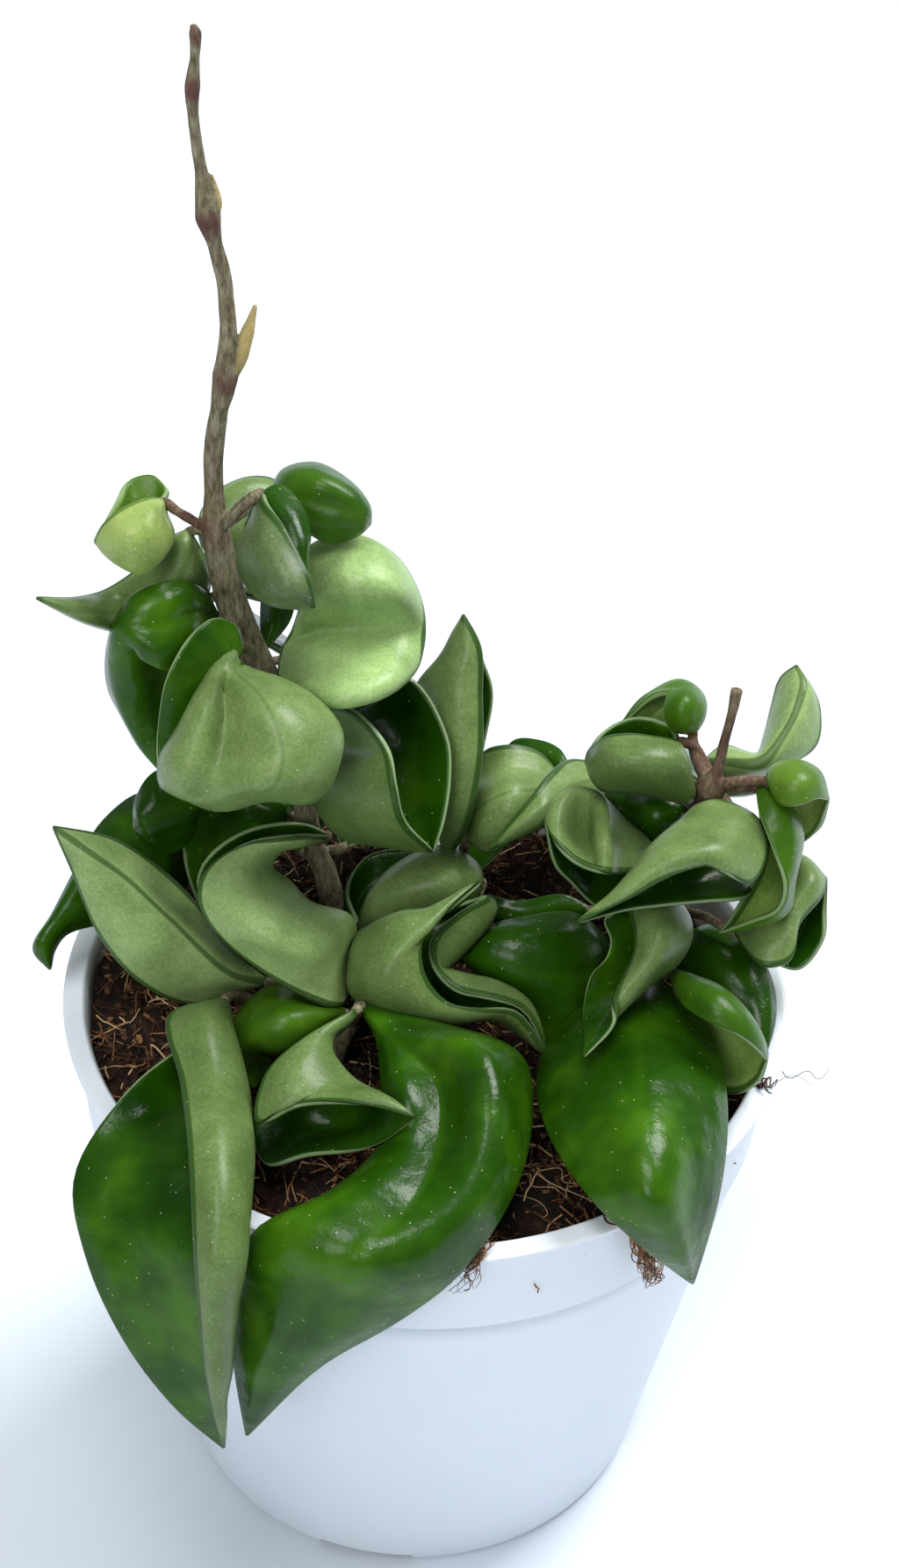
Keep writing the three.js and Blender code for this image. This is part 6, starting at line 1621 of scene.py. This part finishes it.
@dataclass(frozen=True)
class Litter:
    """Loose bits that are strewn over the soil's top by Geometry Nodes, thicker in heaps.

    Each bit has its own turn, size and tint, and noise pushes its points about. The pushes'
    noise is counted in blotches to a metre, and its middle says where no push is.
    """

    name: str
    seed: int
    turn_seed: int
    size_seed: int
    tilt: float
    size_mm: float
    push_mm: float
    blotches: float
    middle: Point
    tint: float
    thick_mm: float = 0.16
    count: int = 3000
    half_turn: float = 3.14
    heap_mm: float = 13.0
    heap_edge: tuple[float, float] = (0.38, 0.62)
    heap_density: tuple[float, float] = (0.3, 1.7)
    tint_seed: int = 9

    def points(self, tree: Tree, source: Node) -> Socket:
        """Scatter points over the faces whose attribute top is 1."""
        top = {"Name": "top"}
        on_top = [add_node(tree, "GeometryNodeInputNamedAttribute", top, data_type="FLOAT"), 0.99]
        place = add_node(tree, "GeometryNodeInputPosition")
        sizes = {"Vector": place, "Scale": per(self.heap_mm), "Detail": 1.0, "Roughness": 0.5}
        heaps = [add_node(tree, NOISE, sizes), *self.heap_edge, *self.heap_density]
        density = [source.outputs["Density"], add_node(tree, RANGE, heaps, **SMOOTH)]
        inputs = {
            "Mesh": source.outputs["Geometry"],
            "Selection": add_node(tree, "FunctionNodeCompare", on_top, operation="GREATER_THAN"),
            "Density": add_node(tree, MATHS, density, **MULTIPLY),
            "Seed": source.outputs["Seed"],
        }
        return add_node(tree, "GeometryNodeDistributePointsOnFaces", inputs)

    def shape(self, tree: Tree) -> Socket:
        """Give one bit before it is turned and sized."""
        raise NotImplementedError

    def size(self, tree: Tree, source: Node) -> Socket:
        """Give each bit's size."""
        raise NotImplementedError

    def body(self, tree: Tree, source: Node, geometry: Socket) -> Socket:
        """Give the pushed bits their body."""
        return geometry

    def tree(self, values: dict[str, float], material: Material) -> Tree:
        """Build the tree that strews the bits.

        Args:
            values: The tree's named inputs; whole numbers stay whole.
            material: The bits' material.

        Returns:
            The tree.
        """
        tree = bpy.data.node_groups.new(self.name, "GeometryNodeTree")
        for side in ("INPUT", "OUTPUT"):
            tree.interface.new_socket("Geometry", in_out=side, socket_type="NodeSocketGeometry")
        for label, value in values.items():
            kind = "NodeSocketInt" if isinstance(value, int) else "NodeSocketFloat"
            tree.interface.new_socket(label, in_out="INPUT", socket_type=kind)
        source, result = tree.nodes.new("NodeGroupInput"), tree.nodes.new("NodeGroupOutput")
        add = partial(add_node, tree)

        most = (self.tilt, self.tilt, self.half_turn)
        turns = {0: tuple(-angle for angle in most), 1: most, "Seed": self.turn_seed}
        bits = add("GeometryNodeInstanceOnPoints", {
            "Points": self.points(tree, source),
            "Instance": self.shape(tree),
            "Rotation": add(RANDOM, turns, data_type="FLOAT_VECTOR"),
            "Scale": self.size(tree, source),
        })
        tints = {2: 0.0, 3: self.tint, "Seed": self.tint_seed}
        tint = add(RANDOM, tints, 1, data_type="FLOAT")
        own = {"Geometry": bits, "Name": "tint", "Value": tint}
        bits = add("GeometryNodeStoreNamedAttribute", own, data_type="FLOAT", domain="INSTANCE")
        loose = add("GeometryNodeRealizeInstances", [bits])
        clouds = {"Vector": add("GeometryNodeInputPosition"), "Scale": self.blotches}
        push = add(VECTOR, [add(NOISE, clouds, "Color"), self.middle], operation="SUBTRACT")
        reach = {0: push, "Scale": source.outputs["Push"]}
        pushing = {"Geometry": loose, "Offset": add(VECTOR, reach, operation="SCALE")}
        bits = self.body(tree, source, add("GeometryNodeSetPosition", pushing))
        solid = add("GeometryNodeRealizeInstances", [bits])
        dressing = {"Geometry": solid, "Material": material}
        tree.links.new(add("GeometryNodeSetMaterial", dressing), result.inputs[0])
        return tree

    def strew(self, soil: Piece, area: float, material: Material) -> Piece:
        """Strew the bits over the soil.

        Args:
            soil: The soil's body.
            area: Its top's area, in square metres.
            material: The bits' material.

        Returns:
            The bits as one plain mesh.
        """
        values = {
            "Density": self.count / area,
            "Seed": self.seed,
            "Size": self.size_mm * MM,
            "Thickness": self.thick_mm * MM,
            "Push": self.push_mm * MM,
        }
        piece = bpy.data.objects.new(self.name, soil.data.copy())
        bpy.context.collection.objects.link(piece)
        modifier = piece.modifiers.new(self.name, "NODES")
        modifier.node_group = self.tree(values, material)
        for item in modifier.node_group.interface.items_tree:
            if item.name in values:
                modifier[item.identifier] = values[item.name]
        apply_modifiers(piece)
        return piece


@dataclass(frozen=True)
class Strands(Litter):
    """Wavy coir strands."""

    steps: int = 8
    sides: int = 3
    lengths: tuple[float, float] = (0.25, 1.3)

    def shape(self, tree: Tree) -> Socket:
        """Give a straight line of length 1."""
        ends = {"Start": (-0.5, 0.0, 0.0), "End": (0.5, 0.0, 0.0)}
        line = add_node(tree, "GeometryNodeCurvePrimitiveLine", ends)
        return add_node(tree, "GeometryNodeResampleCurve", {"Curve": line, "Count": self.steps})

    def size(self, tree: Tree, source: Node) -> Socket:
        """Give each strand's length."""
        shares = {2: self.lengths[0], 3: self.lengths[1], "Seed": self.size_seed}
        share = add_node(tree, RANDOM, shares, 1, data_type="FLOAT")
        return add_node(tree, MATHS, [share, source.outputs["Size"]], **MULTIPLY)

    def body(self, tree: Tree, source: Node, geometry: Socket) -> Socket:
        """Turn the pushed lines into closed tubes."""
        sizes = {"Resolution": self.sides, "Radius": source.outputs["Thickness"]}
        section = add_node(tree, "GeometryNodeCurvePrimitiveCircle", sizes)
        inputs = {"Curve": geometry, "Profile Curve": section, "Fill Caps": True}
        return add_node(tree, "GeometryNodeCurveToMesh", inputs)


@dataclass(frozen=True)
class Crumbs(Litter):
    """Torn peat crumbs."""

    least: Point = (0.5, 0.35, 0.25)
    most: Point = (2.1, 1.2, 0.8)

    def shape(self, tree: Tree) -> Socket:
        """Give a small closed ball."""
        return add_node(tree, "GeometryNodeMeshIcoSphere", {"Radius": 1.0, "Subdivisions": 1})

    def size(self, tree: Tree, source: Node) -> Socket:
        """Give each crumb's length, width and height."""
        shares = {0: self.least, 1: self.most, "Seed": self.size_seed}
        share = add_node(tree, RANDOM, shares, data_type="FLOAT_VECTOR")
        inputs = {0: share, "Scale": source.outputs["Size"]}
        return add_node(tree, VECTOR, inputs, operation="SCALE")


COIR_STRANDS = Strands(
    "soil_strands", seed=7, turn_seed=3, size_seed=5, tilt=0.45, size_mm=7.0, push_mm=2.6,
    blotches=240.0, middle=(0.5, 0.5, 0.38), tint=1.0,
)
PEAT_CRUMBS = Crumbs(
    "soil_crumbs", seed=11, turn_seed=5, size_seed=3, tilt=0.6, size_mm=0.62, push_mm=0.9,
    blotches=900.0, middle=(0.5, 0.5, 0.5), tint=0.72,
)


@dataclass
class Soil:
    """Peat and coir potting mix, mounded, with torn fibres and crumbs strewn over its top."""

    pot: Pot
    drop: float = 9.0
    bump: float = 1.6
    mound_spacings: tuple[float, ...] = (33.0, 27.0, 15.0, 19.0)
    mound_starts: tuple[float, ...] = (1.3, -0.4)
    small_share: float = 0.6
    bank_height: float = 5.0
    bank_spread: float = 16.0
    bank_at: tuple[float, float] = (-54.0, 4.0)
    rings: int = 84
    segments: int = 260
    gap: float = 0.3
    rim_gap: float = 0.25
    clod_mm: float = 1.5
    clod_spacing_mm: float = 6.0
    crumb_mm: float = 0.75
    crumb_spacing_mm: float = 1.7
    litter: tuple[Litter, ...] = (COIR_STRANDS, PEAT_CRUMBS)

    def height(self, x: float, y: float) -> float:
        """Give the height of the soil's top over a spot, without its crumbs."""
        wide_x, wide_y, small_x, small_y = (2 * math.pi / spacing for spacing in self.mound_spacings)
        start_x, start_y = self.mound_starts
        wide = math.sin(x * wide_x + start_x) * math.cos(y * wide_y + start_y)
        small = self.small_share * math.sin(x * small_x - y * small_y)
        from_bank = math.hypot(x - self.bank_at[0], y - self.bank_at[1]) / self.bank_spread
        bank = self.bank_height * math.exp(-(from_bank**2))
        return self.pot.height - self.drop + self.bump * (wide + small) + bank

    def crumbly(self, x: float, y: float) -> float:
        """Give the height of the soil's top over a spot, with its clods and crumbs."""
        z = self.height(x, y)
        here = Vector((x, y, z))
        clod = noise.fractal(here / self.clod_spacing_mm, 0.6, 2.2, 3)
        crumb = noise.fractal(here / self.crumb_spacing_mm, 0.8, 2.1, 2)
        rough = self.clod_mm * clod + self.crumb_mm * crumb
        return z + rough

    def body(self) -> Piece:
        """Make the soil's own body with its crumbly top.

        Returns:
            The mesh, with the attribute top, 1 on its upper side.
        """
        pot = self.pot
        collar_z = pot.height - pot.collar_drop
        foot_z = pot.floor + pot.foot_chamfer
        wall_z = collar_z - 2 * pot.collar_step
        low_r = pot.inner_radius(wall_z) - self.gap
        levels = [
            (pot.floor + self.gap, pot.base_r - pot.wall - pot.foot_chamfer - self.gap),
            (foot_z + self.gap, pot.inner_radius(foot_z) - self.gap),
            (wall_z - self.gap, low_r),
            (collar_z, low_r),
        ]
        turns = np.arange(self.segments) * 2 * math.pi / self.segments
        circle = np.stack((np.cos(turns), np.sin(turns), np.zeros(self.segments)), axis=1)
        rings = [circle * r + (0, 0, z) for z, r in levels]
        top_r = pot.inner_radius(pot.height) - self.rim_gap
        for k in range(self.rings, 0, -1):
            ring = circle * (top_r * k / self.rings)
            ring[:, 2] = [self.crumbly(x, y) for x, y, _ in ring]
            rings.append(ring)
        ends = np.array([(0, 0, levels[0][0]), (0, 0, rings[-1][:, 2].mean())])
        faces = ring_faces(len(rings), self.segments)
        piece = mesh_piece("soil_mix", np.concatenate(rings + [ends]), faces)
        top = np.zeros(len(piece.data.vertices))
        top[(len(levels) + 1) * self.segments :] = 1
        put_attribute(piece, "top", top)
        return piece

    def build(self) -> None:
        """Build and dress the soil and what lies on it."""
        soil = self.body()
        coir = CoirFinish().material()
        area = math.pi * (self.pot.inner_radius(self.pot.height) * MM) ** 2
        loose = [litter.strew(soil, area, coir) for litter in self.litter]
        finish_piece(soil, SoilFinish().material(), "potting_mix", "soil")
        for piece in (*loose, RimLitter().build()):
            finish_piece(piece, coir, "potting_mix")


@dataclass(frozen=True)
class Tuft:
    """Coir strands that lie or hang together.

    The path runs through radii and heights in millimetres round the pot's axis, the turn is
    in degrees, and sweep is how far the strands lean sideways, in millimetres.
    """

    turn: float
    path: tuple[tuple[float, float], ...]
    strands: int
    spread: float
    thick: float
    sweep: float = 0.0
    tint: tuple[float, float] = (0.15, 0.85)


# Two tufts at the front, bits and two stray hairs at the right, and pale strands on the soil
TUFTS = (
    Tuft(-58.5, ((56.6, 102.2), (60.4, 101.8), (61.3, 95), (61, 89), (60.4, 84)),
         strands=70, spread=1.5, thick=0.17, sweep=8.0, tint=(0.2, 1.0)),
    Tuft(-80.0, ((57, 102.0), (59.4, 102.5), (60.8, 100.5), (60.0, 95)),
         strands=24, spread=0.8, thick=0.15, sweep=-3.0),
    Tuft(-21.0, ((55, 96), (58, 102.2), (59.8, 102.1)),
         strands=6, spread=1.6, thick=0.2, sweep=1.0, tint=(0.1, 0.5)),
    Tuft(-20.5, ((58, 102.4), (61, 103.2), (64.5, 102.6), (67.5, 103.4)),
         strands=2, spread=1.2, thick=0.07, sweep=4.0, tint=(0.2, 0.4)),
    Tuft(-66.0, ((38, 95), (41, 96.2), (45, 96.4), (49, 95.2)),
         strands=5, spread=5.0, thick=0.1, sweep=7.0, tint=(0.9, 1.0)),
)


@dataclass
class RimLitter:
    """Torn coir that was left hanging over the rim when the pot was filled."""

    tufts: tuple[Tuft, ...] = TUFTS
    starts: tuple[float, float] = (0.0, 0.3)
    lengths: tuple[float, float] = (0.35, 1.0)
    stand_off: tuple[float, float] = (0.0, 0.7)
    rise: tuple[float, float] = (-0.2, 0.5)
    wave_mm: float = 0.9
    wave_turns: tuple[float, float] = (3.0, 14.0)
    wave_starts: tuple[float, float] = (0.0, 6.0)
    wave_lift: float = 0.3
    thickness: tuple[float, float] = (0.5, 1.2)
    taper: float = 0.6
    points_each: int = 22
    sides: int = 5
    seed: int = 5

    def build(self) -> Piece:
        """Sweep every strand of every tuft.

        Returns:
            The strands as one mesh, with the attribute tint.
        """
        rng = np.random.default_rng(self.seed)
        shares = np.linspace(0, 1, self.points_each)
        points: list[np.ndarray] = []
        faces: list[tuple[int, ...]] = []
        tints: list[np.ndarray] = []
        for tuft in self.tufts:
            path = rail(np.array([(r, z, 0.0) for r, z in tuft.path], dtype=float), shares)
            for _ in range(tuft.strands):
                start, length = rng.uniform(*self.starts), rng.uniform(*self.lengths)
                here = np.clip(start + length * shares, 0, 1)
                r = np.interp(here, shares, path[:, 0]) + rng.uniform(*self.stand_off)
                z = np.interp(here, shares, path[:, 1]) + rng.uniform(*self.rise)
                angle = shares * rng.uniform(*self.wave_turns) + rng.uniform(*self.wave_starts)
                wave = self.wave_mm * np.sin(angle)
                sideways = rng.normal(0, tuft.spread / 2) + wave + tuft.sweep * here
                turn = math.radians(tuft.turn) + sideways / r
                run = np.stack((r * np.cos(turn), r * np.sin(turn), z + self.wave_lift * wave), axis=1)
                thick = tuft.thick * rng.uniform(*self.thickness)
                radii = thick * (1 - self.taper * shares)
                strand, strand_faces = swept(run, radii, self.sides)
                base = sum(len(part) for part in points)
                points.append(strand)
                faces += [tuple(base + corner for corner in face) for face in strand_faces]
                tints.append(np.full(len(strand), rng.uniform(*tuft.tint)))
        piece = mesh_piece("rim_litter", np.concatenate(points), faces)
        put_attribute(piece, "tint", np.concatenate(tints))
        return piece


@dataclass
class Studio:
    """Plain pale floor and soft light."""

    floor_size: float = 6.0
    floor_drop: float = 0.1 * MM
    lamps: tuple[tuple[str, Point, float, float], ...] = (
        ("back_right", (0.9, 0.9, 1.5), 0.9, 41.0),
        ("overhead", (-0.1, -0.3, 1.8), 0.7, 15.0),
        ("front", (-0.5, -1.3, 1.2), 0.9, 13.5),
    )
    target: Point = (0.0, 0.0, 0.12)
    sky: str = "#eef4fb"
    sky_strength: float = 0.2

    def build(self) -> None:
        """Add the floor, the world and the lamps."""
        half = self.floor_size / 2
        corners = [(-half, -half), (half, -half), (half, half), (-half, half)]
        points = np.array([(x, y, -self.floor_drop) for x, y in corners]) / MM
        floor = mesh_piece("studio_floor", points, [(0, 1, 2, 3)])
        floor.data.materials.append(PaperFinish().material())
        world = bpy.data.worlds.new("studio")
        world.use_nodes = True
        background = world.node_tree.nodes["Background"]
        background.inputs["Color"].default_value = linear(self.sky)
        background.inputs["Strength"].default_value = self.sky_strength
        bpy.context.scene.world = world
        for name, place, size, power in self.lamps:
            data = bpy.data.lights.new(name, "AREA")
            data.size = size
            data.energy = power
            lamp = bpy.data.objects.new(name, data)
            lamp.location = place
            direction = Vector(self.target) - Vector(place)
            lamp.rotation_euler = direction.to_track_quat("-Z", "Y").to_euler()
            bpy.context.collection.objects.link(lamp)


def main() -> None:
    """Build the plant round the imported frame."""
    logging.basicConfig(level=logging.INFO, format="%(name)s: %(message)s")
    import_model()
    bpy.context.scene.view_settings.view_transform = "Standard"
    CAMERA.build()
    pot = Pot()
    pot.build()
    Soil(pot).build()
    bark = BarkFinish().material()
    for stem in (
        Stem("bark_tall", TALL_STEM, TALL_STALKS, BUD_SCALES, joints=TALL_JOINTS),
        Stem("bark_short", SHORT_STEM, SHORT_STALKS, joints=SHORT_JOINTS),
        Stem("bark_middle", MIDDLE_STEM, MIDDLE_STALKS),
        Stem("bark_front", FRONT_STEM, FRONT_STALKS),
    ):
        finish_piece(stem.build(), bark, "bark", stem.name.replace("bark_", "stem_"))
    Foliage().build()
    Studio().build()


if __name__ == "__main__":
    main()
